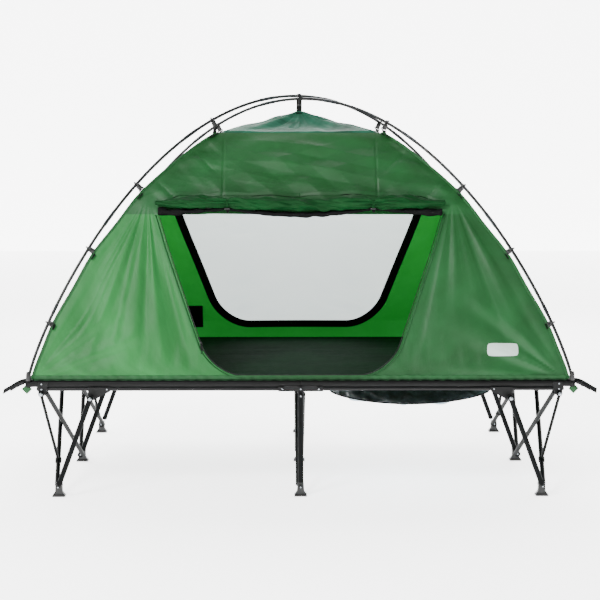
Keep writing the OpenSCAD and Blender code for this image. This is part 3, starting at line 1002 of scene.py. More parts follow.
@dataclass
class SteelFrame:
    """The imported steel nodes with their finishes, and the small parts fixed to them."""

    finishes: dict[str, str] = field(
        default_factory=lambda: {
            "centre_brackets": "powder_coated_plate",
            "centre_posts": "powder_coated_leg",
            "centre_bars": "powder_coated_leg",
            "centre_feet": "moulded_nylon_foot",
            "centre_pins": "powder_coated_plate",
            "rail": "powder_coated_rail",
            "lower_rails": "powder_coated_rail",
            "corner_brackets": "powder_coated_plate",
            "stay_brackets": "powder_coated_plate",
            "rivets": "powder_coated_plate",
            "leg_shaft": "powder_coated_leg",
            "leg_bars": "powder_coated_leg",
            "corner_links": "powder_coated_leg",
            "feet": "moulded_nylon_foot",
            "foot_pins": "powder_coated_plate",
            "stay": "powder_coated_leg",
        }
    )
    nut_r: float = 0.0075
    nut_len: float = 0.0045
    peen_r: float = 0.0030

    def build(self) -> None:
        """Gives each node its finish, then adds the end caps, nuts and treads."""
        for name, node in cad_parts.items():
            fits = [key for key in self.finishes if name.startswith(key)]
            if fits:
                node.data.materials.clear()
                node.data.materials.append(finish_of(self.finishes[max(fits, key=len)]))
        for side in Side:
            self.rail_caps(side)
            self.shaft_nuts(side)
            self.treads(f"feet_{side.word}", f"{side.word}_legs")
        self.treads("centre_feet", "root")
        self.rivet_ends("centre_pins", "root")
        for side in Side:
            self.rivet_ends(f"rivets_{side.word}", side.half)
            self.rivet_ends(f"foot_pins_{side.word}", f"{side.word}_legs")
        LOG.info("steel frame finished")

    def rail_caps(self, side: Side) -> None:
        """Moulded plugs in the outer ends of the lower rails."""
        low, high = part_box(f"lower_rails_{side.word}")
        radius, z = (high.z - low.z) / 2, (high.z + low.z) / 2
        edge = low.x if side is Side.LEFT else high.x
        rows = (low.y + radius, 0.0, high.y - radius)
        profile = np.array(
            [(0.006, -0.009), (0.0, radius + 0.0006), (-0.004, radius + 0.0006), (-0.007, radius - 0.003)]
        )
        parts = [
            turned(f"cap{k}", (edge, y, z), (-side.value, 0, 0), profile, "moulded_nylon_foot")
            for k, y in enumerate(rows)
        ]
        caps = join(f"rail_end_plugs_{side.word}", parts)
        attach(caps, side.half)

    def shaft_nuts(self, side: Side) -> None:
        """Domed push nuts on the ends of the two shafts."""
        for node, body in (("leg_shaft", "legs"), ("stay_shaft", "stays")):
            low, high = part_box(f"{node}_{side.word}")
            x, z = (low.x + high.x) / 2, (low.z + high.z) / 2
            profile = np.array(
                [
                    (0.0, self.nut_r),
                    (self.nut_len, self.nut_r * 0.9),
                    (self.nut_len * 1.6, self.nut_r * 0.45),
                ],
            )
            parts = [
                turned(f"nut{k}", (x, y, z), (0, way, 0), profile, "zinc_plated_rivet")
                for k, (y, way) in enumerate(((low.y, -1), (high.y, 1)))
            ]
            nuts = join(f"{node}_nuts_{side.word}", parts)
            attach(nuts, f"{side.word}_{body}")

    def rivet_ends(self, node: str, body: str) -> None:
        """Bright peened ends in the middle of each pin's heads."""
        profile = np.array(
            [
                (-0.0004, self.peen_r),
                (0.0003, self.peen_r),
                (0.0009, self.peen_r * 0.75),
                (0.0011, self.peen_r * 0.3),
            ],
        )
        parts = []
        for low, high in islands(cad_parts[node]):
            x, z = (low[0] + high[0]) / 2, (low[2] + high[2]) / 2
            parts += [
                turned("peen", (x, y, z), (0, way, 0), profile, "zinc_plated_rivet", 16)
                for y, way in ((low[1], -1), (high[1], 1))
            ]
        ends = join(f"{node}_peened_ends", parts)
        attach(ends, body)

    def treads(self, node: str, body: str) -> None:
        """Ribs across the top of each foot's pad."""
        low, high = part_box(node)
        x, half = (low.x + high.x) / 2, (high.x - low.x) / 2
        pitch = (high.y - low.y - 0.036) / 2
        paths = []
        for row in (-1, 0, 1):
            for edge in (-1, 1):
                for k in range(4):
                    y = row * pitch + edge * (0.0115 + 0.0018 * k)
                    paths.append(np.array([(x - half + 0.005, y, 0.0062), (x + half - 0.005, y, 0.0062)]))
        ribs = tubes(f"{node}_ribs", paths, 0.0006, "moulded_nylon_foot", 6)
        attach(ribs, body)


def islands(obj: bpy.types.Object) -> list[tuple[Array, Array]]:
    """Boxes of a mesh's separate pieces.

    Args:
        obj: A mesh object.

    Returns:
        Lowest and highest corner of each piece.
    """
    points = np.array([v.co for v in obj.data.vertices])
    _, same = np.unique(np.round(points, 6), axis=0, return_inverse=True)
    same = same.ravel()
    root = list(range(int(same.max()) + 1))

    def top(k: int) -> int:
        """The piece's first point."""
        while root[k] != k:
            root[k] = root[root[k]]
            k = root[k]
        return k

    for edge in obj.data.edges:
        a, b = (top(int(same[v])) for v in edge.vertices)
        root[max(a, b)] = min(a, b)
    labels = np.array([top(int(k)) for k in same])
    return [(points[labels == k].min(0), points[labels == k].max(0)) for k in np.unique(labels)]


def turned(
    name: str, at: tuple, way: tuple, profile: Array, finish: str, sides: int = 24
) -> bpy.types.Object:
    """Turns a profile round an axis and closes its ends.

    Args:
        name: The piece's name.
        at: Where the axis starts.
        way: Direction of the axis.
        profile: Distance along the axis and radius, for each ring.
        finish: Name of its material.
        sides: Points in each ring.

    Returns:
        The mesh object.
    """
    axis = np.array(way, float)
    axis /= np.linalg.norm(axis)
    first = np.cross(axis, (0.0, 0.0, 1.0) if abs(axis[2]) < 0.9 else (1.0, 0.0, 0.0))
    first /= np.linalg.norm(first)
    second = np.cross(axis, first)
    rings = []
    for run, radius in profile:
        for k in range(sides):
            a = 2 * math.pi * k / sides
            rings.append(
                np.array(at) + axis * run + abs(radius) * (math.cos(a) * first + math.sin(a) * second)
            )
    n = len(profile)
    faces = [
        (i * sides + j, i * sides + (j + 1) % sides, (i + 1) * sides + (j + 1) % sides, (i + 1) * sides + j)
        for i in range(n - 1) for j in range(sides)
    ]
    faces += [tuple(range(sides))[::-1], tuple((n - 1) * sides + j for j in range(sides))]
    return mesh_object(name, np.array(rings), faces, [finish])


# ---- deck ----


@dataclass
class Deck:
    """The deck's cover: two sheets with sleeves over the rails, sewn together at the middle."""

    form: TentForm
    sleeve_r: float = 0.0128
    stitch: tuple[float, float, float] = (0.0009, 0.0005, 0.0032)
    blend_from: float = 0.030
    blend_to: float = 0.085

    def build(self) -> None:
        """Builds both sides."""
        for side in Side:
            self.floor(side)
            self.sleeves(side)
            self.stitches(side)
            self.web_tail(side)

    def bend(self, obj: bpy.types.Object, side: Side, z: float) -> None:
        """Bakes the piece's placement into its mesh."""
        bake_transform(obj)

    def floor(self, side: Side) -> None:
        """The fabric between the sleeves, with a slight sag and drawn lines."""
        low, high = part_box(f"deck_{side.word}")
        reach, half, top = max(abs(low.x), abs(high.x)), high.y, high.z

        def form(u: Array, v: Array) -> Array:
            """A point of the floor, from the middle out and from front to back."""
            x, y = side.value * u * reach, v * half
            edge = (1 - u**6) * (1 - v**4) * ease(u / 0.10)
            down = -0.004 * edge * np.sin(np.pi * np.clip(u, 0, 1))
            lines = 0.0018 * (2 * lattice(x / 0.35, y / 0.06, 61) - 1) + 0.0014 * crumple(x, y, 0.16, 63)
            return np.stack([x, y, top + 0.0008 + down + lines * edge], -1)

        sheet = Cloth(
            f"deck_floor_{side.word}", form, np.linspace(0, 0.9985, 130), np.linspace(-1, 1, 170),
            "floor_oxford", "floor_oxford", 0.0009, (0.0, 0.0, 0.0),
        )
        obj, flat, area = sheet.build()
        self.bend(obj, side, top)
        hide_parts(f"deck_{side.word}", *(("deck_centre",) if side is Side.LEFT else ()))
        LOG.info("%s %.2f x %.2f m", obj.name, *flat)

    def sleeves(self, side: Side) -> None:
        """Black sleeves that wrap the front, back and end rails, puckered by their seams."""
        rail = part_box(f"rail_front_{side.word}")
        z, y_row = (rail[0].z + rail[1].z) / 2, -(rail[0].y + rail[1].y) / 2
        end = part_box(f"rail_end_{side.word}")
        end_x = (end[0].x + end[1].x) / 2
        parts = []
        for edge in End:
            xs = np.linspace(0.0, abs(end_x) + self.sleeve_r * 0.5, 190)
            parts.append(
                self.wrap(
                    f"long{edge.value}",
                    np.stack(
                        [side.value * xs, np.full_like(xs, edge.value * y_row), np.full_like(xs, z)], -1
                    ),
                    71 + edge.value,
                ),
            )
        ys = np.linspace(-y_row - self.sleeve_r * 0.8, y_row + self.sleeve_r * 0.8, 170)
        parts.append(
            self.wrap(
                "end", np.stack([np.full_like(ys, end_x), ys, np.full_like(ys, z)], -1), 74 + side.value
            ),
        )
        obj = join(f"rail_sleeves_{side.word}", parts)
        self.bend(obj, side, z)

    def wrap(self, name: str, path: Array, seed: float) -> bpy.types.Object:
        """One sleeve round a rail: a little loose below, tight above."""
        sides = 20
        run = np.concatenate([[0], np.linalg.norm(np.diff(path, axis=0), axis=1).cumsum()])
        way = (path[-1] - path[0]) / np.linalg.norm(path[-1] - path[0])
        across = np.cross(way, (0, 0, 1))
        points, uv = [], []
        for k in range(sides):
            a = 2 * math.pi * k / sides
            pucker = 2 * lattice(run / 0.028, np.full_like(run, 2.5 * math.cos(a) + 7), seed) - 1
            radius = self.sleeve_r + 0.0007 * pucker * (0.6 - 0.4 * math.sin(a)) + (
                0.0009 if math.sin(a) < -0.5 else 0
            )
            points.append(
                path + radius[:, None] * (math.cos(a) * across + math.sin(a) * np.array([0, 0, 1.0]))
            )
            uv.append(np.stack([np.full_like(run, a * self.sleeve_r), run], -1))
        points, uv = np.stack(points, 1).reshape(-1, 3), np.stack(uv, 1).reshape(-1, 2)
        n = len(path)
        faces = [
            (
                i * sides + j,
                i * sides + (j + 1) % sides,
                (i + 1) * sides + (j + 1) % sides,
                (i + 1) * sides + j,
            )
            for i in range(n - 1) for j in range(sides)
        ]
        faces += [tuple(range(sides))[::-1], tuple((n - 1) * sides + j for j in range(sides))]
        return mesh_object(name, points, faces, ["rail_sleeve_black"], uv)

    def stitches(self, side: Side) -> None:
        """Two rows of stitches along the sleeves' inner edges."""
        low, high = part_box(f"deck_{side.word}")
        reach, half = max(abs(low.x), abs(high.x)) - 0.032, high.y - 0.028
        paths = []
        for inset in (0.0, 0.006):
            r, h = reach - inset, half - inset
            corner = [(0.0, -h), (r, -h), (r, h), (0.0, h)]
            track = np.array([(side.value * x, y, high.z + 0.0022) for x, y in corner])
            paths.append(np.concatenate([np.linspace(a, b, 60) for a, b in zip(track[:-1], track[1:])]))
        obj = blocks(f"deck_stitches_{side.word}", paths, self.stitch, 0.0056, "strap_web")
        self.bend(obj, side, high.z)

    def web_tail(self, side: Side) -> None:
        """Web straps past the deck's two corners, with a ring and a loose end."""
        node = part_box(f"corner_tabs_{side.word}")
        out = abs(node[0].x if side is Side.LEFT else node[1].x)
        start, low, top = min(abs(node[0].x), abs(node[1].x)), node[0].z, node[1].z
        rows = (node[0].y + 0.012, node[1].y - 0.012)
        parts = []
        for k, y in enumerate(rows):
            t = np.linspace(0, 1, 24)
            x = start - 0.014 + (out - start + 0.014) * t
            z = top + 0.004 - (top - low) * t**1.6 + 0.004 * np.sin(5 * t)
            strap = np.stack([side.value * x, y + 0.004 * np.sin(7 * t + k), z], -1)
            parts.append(ribbon(f"tail{k}", strap, (0.2, 0.45, 1), 0.0105, 0.0030, "strap_web"))
            fold = np.stack([side.value * (x[6:19] - 0.004), np.full(13, y - 0.003), z[6:19] - 0.006], -1)
            parts.append(ribbon(f"fold{k}", fold, (0.1, 0.8, -0.6), 0.0095, 0.0026, "strap_web"))
            a = np.linspace(0, 2 * math.pi, 33)
            ring = np.stack(
                [
                    side.value * (start + 0.036 + 0.011 * np.cos(a)),
                    np.full_like(a, y),
                    z[11] - 0.004 + 0.009 * np.sin(a),
                ],
                -1,
            )
            parts.append(tubes(f"ring{k}", [ring], 0.0018, "moulded_clip", 8))
            middle = np.array(
                [side.value * (start - 0.004), y + 0.013 * (-1, 1)[k], (top + low) / 2 - 0.006]
            )
            slant = np.array([side.value * 0.010, 0, 0.010])
            square = np.linspace(middle - slant, middle + slant, 4)
            parts.append(ribbon(f"patch{k}", square, (side.value, 0, -1), 0.014, 0.003, "taffeta_green"))
        obj = join(f"web_tails_{side.word}", parts)
        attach(obj, side.half)
        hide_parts(f"corner_tabs_{side.word}")


# ---- tent ----


@dataclass
class Walls:
    """The four walls of taffeta, with their seams, hems and bindings."""

    form: TentForm
    window_sill: float = 0.530
    window_half: float = 0.344
    thick: float = 0.0012

    def build(self) -> None:
        """Builds the front, back and end walls of both sides."""
        for side in Side:
            self.front(side)
            self.back(side)
            self.end(side)
            self.piping(side)
            self.hems(side)

    def levels(self, low: float, high: float, count: int, corner: float = 0.0) -> Array:
        """Heights from low to high, closer together over a rounded corner."""
        if not corner:
            return np.linspace(low, high, count)
        turn = np.linspace(0, math.pi / 2, 18)
        return np.concatenate(
            [low + corner * (1 - np.cos(turn)), np.linspace(low + corner, high, count)[1:]]
        )

    def part(
        self,
        name: str,
        side: Side,
        end: End,
        inner: Callable[[Array], Array],
        z: Array,
        finish: str,
        count: int,
    ) -> tuple:
        """A stretch of a long wall between an inner line and the ridge.

        Args:
            name: The piece's name.
            side: Its side.
            end: The front or the back wall.
            inner: Half width of what it leaves open, at a height.
            z: Heights of its rows.
            finish: Name of its outer material.
            count: Points across it.

        Returns:
            The object, its flat size and its area.
        """

        def form(u: Array, v: Array) -> Array:
            """A point of the stretch, u from the inner line to the ridge, v a height."""
            ridge = self.form.base_x * self.form.share(v)
            q = inner(v) / ridge
            return self.form.wall(side.value * (q + (1 - q) * u), v, end)

        sheet = Cloth(
            name, form, np.linspace(0, 1, count), z, finish, "taffeta_lit_from_behind", self.thick
        )
        return sheet.build()

    def front(self, side: Side) -> None:
        """The panel beside the door, the panel above it and the sill under it."""
        f = self.form

        def door(z: Array) -> Array:
            """Half width of the door at a height."""
            return f.door_w(z, f.door_z, f.door_half)

        # The left panel gets the brighter copy of the cloth: painted light on the side that faces the key
        # light.
        finish = "taffeta_green_painted_lit" if side is Side.LEFT else "taffeta_green"
        panel, _, area_a = self.part(
            "panel",
            side,
            End.FRONT,
            door,
            self.levels(f.door_z, f.door_top, 120, f.door_corner),
            finish,
            130,
        )
        top, _, area_b = self.part(
            "top",
            side,
            End.FRONT,
            np.zeros_like,
            self.levels(f.door_top, f.wall_top, 120),
            "taffeta_green",
            130,
        )
        sill, _, area_c = self.part(
            "sill", side, End.FRONT, np.zeros_like, self.levels(f.base_z, f.door_z, 6), "taffeta_green", 130
        )
        wall = join(f"front_wall_{side.word}", [panel, top, sill])
        self.declare(wall, side, f"wall_front_{side.word}")
        self.door_edge(side)

    def back(self, side: Side) -> None:
        """The back wall round its window."""
        f = self.form

        def opening(z: Array) -> Array:
            """Half width of the window at a height."""
            return f.door_w(z, self.window_sill, self.window_half)

        panel, _, area_a = self.part(
            "panel",
            side,
            End.BACK,
            opening,
            self.levels(self.window_sill, f.door_top, 60, f.door_corner),
            "taffeta_green",
            70,
        )
        top, _, area_b = self.part(
            "top",
            side,
            End.BACK,
            np.zeros_like,
            self.levels(f.door_top, f.wall_top, 50),
            "taffeta_green",
            90,
        )
        sill, _, area_c = self.part(
            "sill",
            side,
            End.BACK,
            np.zeros_like,
            self.levels(f.base_z, self.window_sill, 14),
            "taffeta_green",
            90,
        )
        wall = join(f"back_wall_{side.word}", [panel, top, sill])
        self.declare(wall, side, f"wall_back_{side.word}")
        self.window(side, opening)

    def declare(self, wall: bpy.types.Object, side: Side, node: str) -> None:
        """Settles a long wall."""
        f = self.form
        tall = float(np.hypot(f.wall_top - f.base_z, f.base_y * (1 - f.brim))) * 1.06
        settle(wall, side, (node,))

    def end(self, side: Side) -> None:
        """The wall across the end of the deck, as one sheet."""
        f = self.form

        def form(u: Array, v: Array) -> Array:
            """A point of the end wall, u from the front ridge to the back one, v a height."""
            return f.end_wall(u, v, side)

        z = self.levels(f.base_z, f.wall_top, 110)
        obj, flat, area = Cloth(
            f"end_wall_{side.word}",
            form,
            np.linspace(-1, 1, 130),
            z,
            "taffeta_ends",
            "taffeta_lit_from_behind",
            self.thick,
        ).build()
        settle(obj, side, (f"wall_end_{side.word}",))

    def outline(
        self, side: Side, end: End, sill: float, half: float, out: float, grow: float = 0.0
    ) -> Array:
        """The left or right half of an opening's edge, from the middle of its sill up.

        Args:
            side: The side.
            end: The front or the back wall.
            sill: Height of the opening's lower edge.
            half: Half its width there.
            out: How far the line stands out of the cloth.
            grow: How far outside the edge the line runs.

        Returns:
            Points along the edge.
        """
        f = self.form
        flat = np.linspace(0.0, half - f.door_corner, 24)
        z = self.levels(sill, f.door_top, 60, f.door_corner)
        x = np.concatenate([flat, f.door_w(z, sill, half)[1:]])
        z = np.concatenate([np.full(24, sill), z[1:]])
        dx, dz = np.gradient(x), np.gradient(z)
        run = np.hypot(dx, dz)
        x, z = x + grow * dz / run, z - grow * dx / run
        x = np.where(np.arange(len(x)) == 0, 0.0, x)
        line = f.wall(side.value * x / (f.base_x * f.share(z)), z, end)
        line[:, 1] += end.value * out
        return line

    def door_edge(self, side: Side) -> None:
        """The door's zip: two tapes and a coil, with a slider at the foot of it."""
        f = self.form
        edge = self.outline(side, End.FRONT, f.door_z, f.door_half, 0.0018, 0.006)
        coil = self.outline(side, End.FRONT, f.door_z, f.door_half, 0.0012, -0.004)
        parts = [
            ribbon("tape", edge, (0.55 * side.value, -0.5, 0.1), 0.005, 0.0014, "taffeta_green"),
            blocks("coil", [coil], (0.0042, 0.0022, 0.0014), 0.0030, "moulded_clip"),
            tubes("cord", [coil + np.array([0, 0.0012, 0])], 0.0013, "binding_black", 8),
        ]
        if side is Side.LEFT:
            slider = coil[40]
            body = np.array([(-0.007, 0.002), (-0.005, 0.0045), (0.004, 0.005), (0.008, 0.0025)])
            parts.append(turned("slider", slider, coil[41] - coil[39], body, "moulded_clip", 12))
            parts.append(
                ribbon(
                    "pull",
                    np.linspace(slider + [0, -0.005, 0], slider + [0.004, -0.008, -0.045], 10),
                    (1, 0, 0),
                    0.004,
                    0.0018,
                    "strap_web",
                ),
            )
        zip_edge = join(f"door_zip_{side.word}", parts)
        settle(zip_edge, side)

    def window(self, side: Side, opening: Callable[[Array], Array]) -> None:
        """The white mesh in the back wall, its black binding and the pocket beside it."""
        f = self.form

        def form(u: Array, v: Array) -> Array:
            """A point of the mesh, u from the middle to its edge, v a height."""
            x = opening(v) * u
            point = f.wall(side.value * x / (f.base_x * f.share(v)), v, End.BACK)
            point[..., 1] -= 0.0026 - 0.004 * (1 - u**2) * np.sin(
                np.pi * (v - self.window_sill) / (f.door_top - self.window_sill)
            )
            return point

        z = self.levels(self.window_sill, f.door_top, 50, f.door_corner)
        mesh, flat, area = Cloth(
            f"window_mesh_{side.word}",
            form,
            np.linspace(0, 1, 60),
            z,
            "window_mesh_white",
            "window_mesh_white",
            0.0006,
        ).build()
        settle(mesh, side, (f"window_{side.word}",))
        border = []
        for k, (out, width) in enumerate(((-0.0052, 0.018), (0.0026, 0.018))):
            line = self.outline(side, End.BACK, self.window_sill, self.window_half, out, 0.014)
            way = np.gradient(line, axis=0)
            across = np.cross(way, (0, 1, 0.35))
            border.append(ribbon(f"binding{k}", line, across, width, 0.0016, "binding_black"))
        if side is Side.LEFT:
            border.append(self.pocket())
        binding = join(f"window_binding_{side.word}", border)
        settle(binding, side)

    def pocket(self) -> bpy.types.Object:
        """A small black pocket sewn inside the back wall, at the foot of the window."""
        f = self.form
        z = np.linspace(0.500, 0.603, 12)
        x = np.full_like(z, -0.492)
        line = f.wall(x / (f.base_x * f.share(z)), z, End.BACK)
        line[:, 1] -= 0.010 + 0.006 * np.sin(np.linspace(0, np.pi, 12))
        return ribbon("pocket", line, (1, 0, 0), 0.048, 0.0022, "binding_black")

    def piping(self, side: Side) -> None:
        """The corded seams along the two ridges, with their flaps."""
        f = self.form
        s = np.linspace(1.0, f.brim, 150)
        z = f.height(s)
        paths = []
        for end in End:
            line = f.wall(np.full_like(z, side.value * 1.0), z, end)
            line += np.array([side.value * 0.0010, end.value * 0.0010, 0.0006])
            paths.append(line)
        ridges = tubes("ridge", paths, 0.0030, "taffeta_green", 10)
        flaps = []
        for path, end in zip(paths, End):
            out = np.array([side.value * 0.7, end.value * 0.7, 0.25])
            flaps.append(
                ribbon(f"flap{end.value}", path + 0.004 * out, out, 0.0055, 0.0013, "taffeta_green")
            )
        seams = join(f"ridge_seams_{side.word}", [ridges, *flaps])
        settle(seams, side)

    def hems(self, side: Side) -> None:
        """The walls' lower hems, gathered a little where they are sewn to the deck."""
        f = self.form
        z = np.full(220, f.base_z + 0.0052)
        parts = []
        for end in End:
            q = np.linspace(0.0, 0.998, 220)
            line = f.wall(side.value * q, z, end)
            line[:, 1] += end.value * 0.0016 + 0.0012 * np.sin(q * 150)
            parts.append(ribbon(f"hem{end.value}", line, (0, 0.1, 1), 0.0098, 0.0014, "taffeta_green"))
        line = f.end_wall(np.linspace(-0.998, 0.998, 220), z, side)
        line[:, 0] += side.value * 0.0016
        parts.append(ribbon("hem_end", line, (0.1, 0, 1), 0.0098, 0.0014, "taffeta_green"))
        settle(join(f"wall_hems_{side.word}", parts), side)


@dataclass
class RoofCap:
    """The peaked cap over the walls, pulled up by the hook at the crossing."""

    form: TentForm

    def build(self) -> None:
        """Builds both halves, their brims and the crown's hook."""
        f = self.form
        for side in Side:
            middle = 0.0 if side is Side.RIGHT else math.pi

            def form(u: Array, v: Array) -> Array:
                """A point of the cap, u round it, v from peak to brim."""
                return f.cap(u, v)

            turns = np.linspace(middle - math.pi / 2, middle + math.pi / 2, 150)
            obj, _, area = Cloth(
                f"roof_cap_shell_{side.word}",
                form,
                turns,
                np.linspace(0.012, 1.0, 60),
                "taffeta_cap",
                "taffeta_lit_from_behind",
                0.0012,
                (0, 0, 1.0),
            ).build()
            settle(obj, side, (f"roof_cap_{side.word}",))
            brim = tubes(
                f"cap_brim_{side.word}",
                [f.cap(turns, np.full_like(turns, 0.9995)) + np.array([0, 0, -0.001])],
                0.0032,
                "taffeta_green",
                8,
            )
            ridge_lines = []
            for corner in (-1, 1):
                angle = math.atan2(corner, side.value)
                down = np.linspace(0.02, 0.995, 60)
                ridge_lines.append(f.cap(np.full_like(down, angle), down) + np.array([0, 0, 0.0008]))
            ridge = tubes(f"ridge{side.value}", ridge_lines, 0.0022, "taffeta_cap", 8)
            trim = join(f"cap_trim_{side.word}", [brim, ridge])
            settle(trim, side)
        self.crown()

    def crown(self) -> None:
        """The web loop, hook and ring that hang the cap's peak from the crossing."""
        f = self.form
        peak = f.wall_top + 0.004 + f.cap_lift
        top = f.pole_top
        strap = np.linspace((0, 0, peak - 0.006), (0, 0, top - 0.012), 8)
        hook_turn = np.linspace(-0.55 * math.pi, 1.0 * math.pi, 26)
        hook = np.stack(
            [0.0115 * np.cos(hook_turn), np.zeros(26), top - 0.004 + 0.0115 * np.sin(hook_turn)], -1
        )
        shank = np.linspace((0.0, 0, peak + 0.026), hook[0], 8)
        parts = [
            ribbon("loop", strap, (1, 0.1, 0), 0.0115, 0.0042, "strap_web"),
            tubes("hook", [np.concatenate([shank, hook[1:]])], 0.0030, "moulded_clip", 10),
            turned(
                "collar",
                (0, 0, peak + 0.020),
                (0, 0, 1),
                np.array([(0, 0.006), (0.003, 0.0085), (0.010, 0.0085), (0.014, 0.005)]),
                "moulded_clip",
            ),
            turned(
                "boss",
                (0, 0, peak - 0.008),
                (0, 0, 1),
                np.array([(0, 0.022), (0.003, 0.0200), (0.0045, 0.012)]),
                "binding_black",
            ),
        ]
        settle(join("crown_hook", parts), Side.LEFT)


@dataclass
class Door:
    """The door, rolled up over its opening and held by two ties."""

    form: TentForm
    lift: float = 0.0
    tall: float = 0.0235
    deep: float = 0.027
    tie_x: float = 0.285
    mesh_r: float = 0.0085
    sides: int = 60
    along: int = 300

    def build(self) -> None:
        """Builds each side's half of the roll with the mesh under it and its tie."""
        for side in Side:
            self.roll(side)
            self.mesh_roll(side)
            self.top_zip(side)
            self.tie(side)

    def middle(self, side: Side) -> tuple[float, float, float]:
        """Reach along X, and the roll's middle in Y and Z."""
        low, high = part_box(f"door_roll_{side.word}")
        return max(abs(low.x), abs(high.x)), (low.y + high.y) / 2 + 0.004, (low.z + high.z) / 2 + self.lift

    def surface(self, side: Side, x: Array, turn: Array) -> Array:
        """Points of the roll's outside.

        Args:
            side: Its side.
            x: Distances from the middle of the tent.
            turn: Angles round the roll, 0 towards the front.

        Returns:
            Points, three numbers each.
        """
        reach, y, z = self.middle(side)
        signed = side.value * x
        pinch = 1 - 0.26 * np.exp(-(((x - self.tie_x) / 0.018) ** 2)) - 0.08 * np.exp(
            -(((x - self.tie_x) / 0.07) ** 2)
        )
        taper = 1 - 0.62 * ease((x - reach + 0.14) / 0.14)
        near_tie = np.exp(-(((x - self.tie_x) / 0.09) ** 2))
        c, d = np.cos(turn), np.sin(turn)
        pleats = 0.13 * near_tie * np.sin(turn * 9 + 3.0 * lattice(signed / 0.05, 0 * turn + 2, 85))
        bulk = 0.30 * (2 * lattice(signed / 0.10, d * 1.3 + 4 + 0.8 * c, 81) - 1)
        bulk += 0.26 * (2 * lattice(signed / 0.032 + 2 * d, c * 1.6 + 9, 83) - 1)
        layers = 0.16 * (1 - np.abs(2 * lattice(signed / 0.16 + 0.6 * d, d * 2.6 + 5, 87) - 1)) ** 3
        size = pinch * taper * (1 + 0.75 * bulk + pleats + layers)
        hang = -0.004 * np.cos(np.pi * np.clip(x / self.tie_x, 0, 1)) - 0.003
        lean = 0.012 * (1 - taper)
        return np.stack(
            [signed + 0 * turn, y - self.deep * size * c + lean, z + hang + self.tall * size * d], -1
        )

    def closed(self, name: str, side: Side, p: Array, finish: str) -> bpy.types.Object:
        """Makes a rolled bundle from rings of points, with the layers showing at its outer end.

        Args:
            name: The piece's name.
            side: Its side.
            p: Rings from the middle of the tent outwards.
            finish: Name of its material.

        Returns:
            The mesh object.
        """
        n, k = p.shape[:2]
        layers = [
            p[-1].mean(0) + (p[-1] - p[-1].mean(0)) * size for size in (0.82, 0.80, 0.55, 0.53, 0.28, 0.05)
        ]
        for ring, inner in enumerate(layers):
            inner[:, 0] += side.value * (0.004 if ring % 2 == 0 else -0.006)
        rings = np.vstack([p.reshape(-1, 3), *layers])
        rows = n + len(layers)
        faces = [
            (i * k + j, i * k + (j + 1) % k, (i + 1) * k + (j + 1) % k, (i + 1) * k + j)
            for i in range(rows - 1) for j in range(k)
        ]
        faces.append(tuple((rows - 1) * k + j for j in range(k)))
        faces.append(tuple(range(k))[::-1])
        if side is Side.LEFT:
            faces = [f[::-1] for f in faces]
        uv = np.stack(
            [np.tile(np.linspace(0, 0.18, k), rows), np.repeat(np.linspace(0, 0.56, rows), k)], -1
        )
        return mesh_object(name, rings, faces, [finish], uv)

    def roll(self, side: Side) -> None:
        """The rolled taffeta, drawn in a darker copy of the cloth as painted shade of its deep folds."""
        reach = self.middle(side)[0]
        turns = np.linspace(0, 2 * np.pi, self.sides, endpoint=False)
        u, v = np.meshgrid(turns, np.linspace(0, reach, self.along))
        obj = self.closed(f"rolled_door_{side.word}", side, self.surface(side, v, u), "taffeta_roll")
        settle(obj, side, (f"door_roll_{side.word}",))

    def mesh_roll(self, side: Side) -> None:
        """The door's black mesh, rolled up behind the taffeta and hanging out under it."""
        reach, y, z = self.middle(side)
        x = np.linspace(0, reach - 0.012, 170)
        turns = np.linspace(0, 2 * np.pi, 28, endpoint=False)
        places = (0.0, 0.10, 0.20, 0.27, self.tie_x, 0.31, 0.40, 0.50, reach)
        droop = np.interp(
            x, places, (0.0475, 0.0440, 0.0350, 0.0255, 0.0230, 0.0255, 0.0320, 0.0370, 0.0340)
        )
        size = np.interp(x, places, (1.15, 1.1, 0.95, 0.6, 0.45, 0.6, 1.0, 1.45, 1.7))
        u, v = np.meshgrid(turns, x)
        signed = side.value * v
        lumps = 1 + 0.22 * (2 * lattice(signed / 0.03, np.sin(u) + 3, 95) - 1) + 0.15 * np.sin(
            signed * 90 + 3 * np.cos(u)
        )
        radius = self.mesh_r * size[:, None] * lumps
        points = np.stack(
            [signed, y + 0.006 - radius * np.cos(u), z - droop[:, None] + radius * np.sin(u)], -1
        )
        obj = self.closed(f"rolled_mesh_{side.word}", side, points, "binding_black")
        settle(obj, side)

    def top_zip(self, side: Side) -> None:
        """The covered zip along the top of the door, with the door's edge tape hanging from it."""
        f = self.form
        reach, _, z = self.middle(side)
        x = np.linspace(0.0, reach + 0.004, 120)
        level = z + self.tall + 0.012 - 0.030 * ease((x - reach + 0.10) / 0.10) + 0.0015 * np.sin(
            side.value * x * 40
        )
        line = f.wall(side.value * x / (f.base_x * f.share(level)), level, End.FRONT)
        flap = ribbon("flap", line + [0, -0.0030, 0], (0, 0.35, 1), 0.0075, 0.0016, "taffeta_green")
        under = tubes("zip", [line + [0, -0.0032, -0.0085]], 0.0016, "binding_black", 8)
        settle(join(f"door_top_zip_{side.word}", [flap, under]), side)

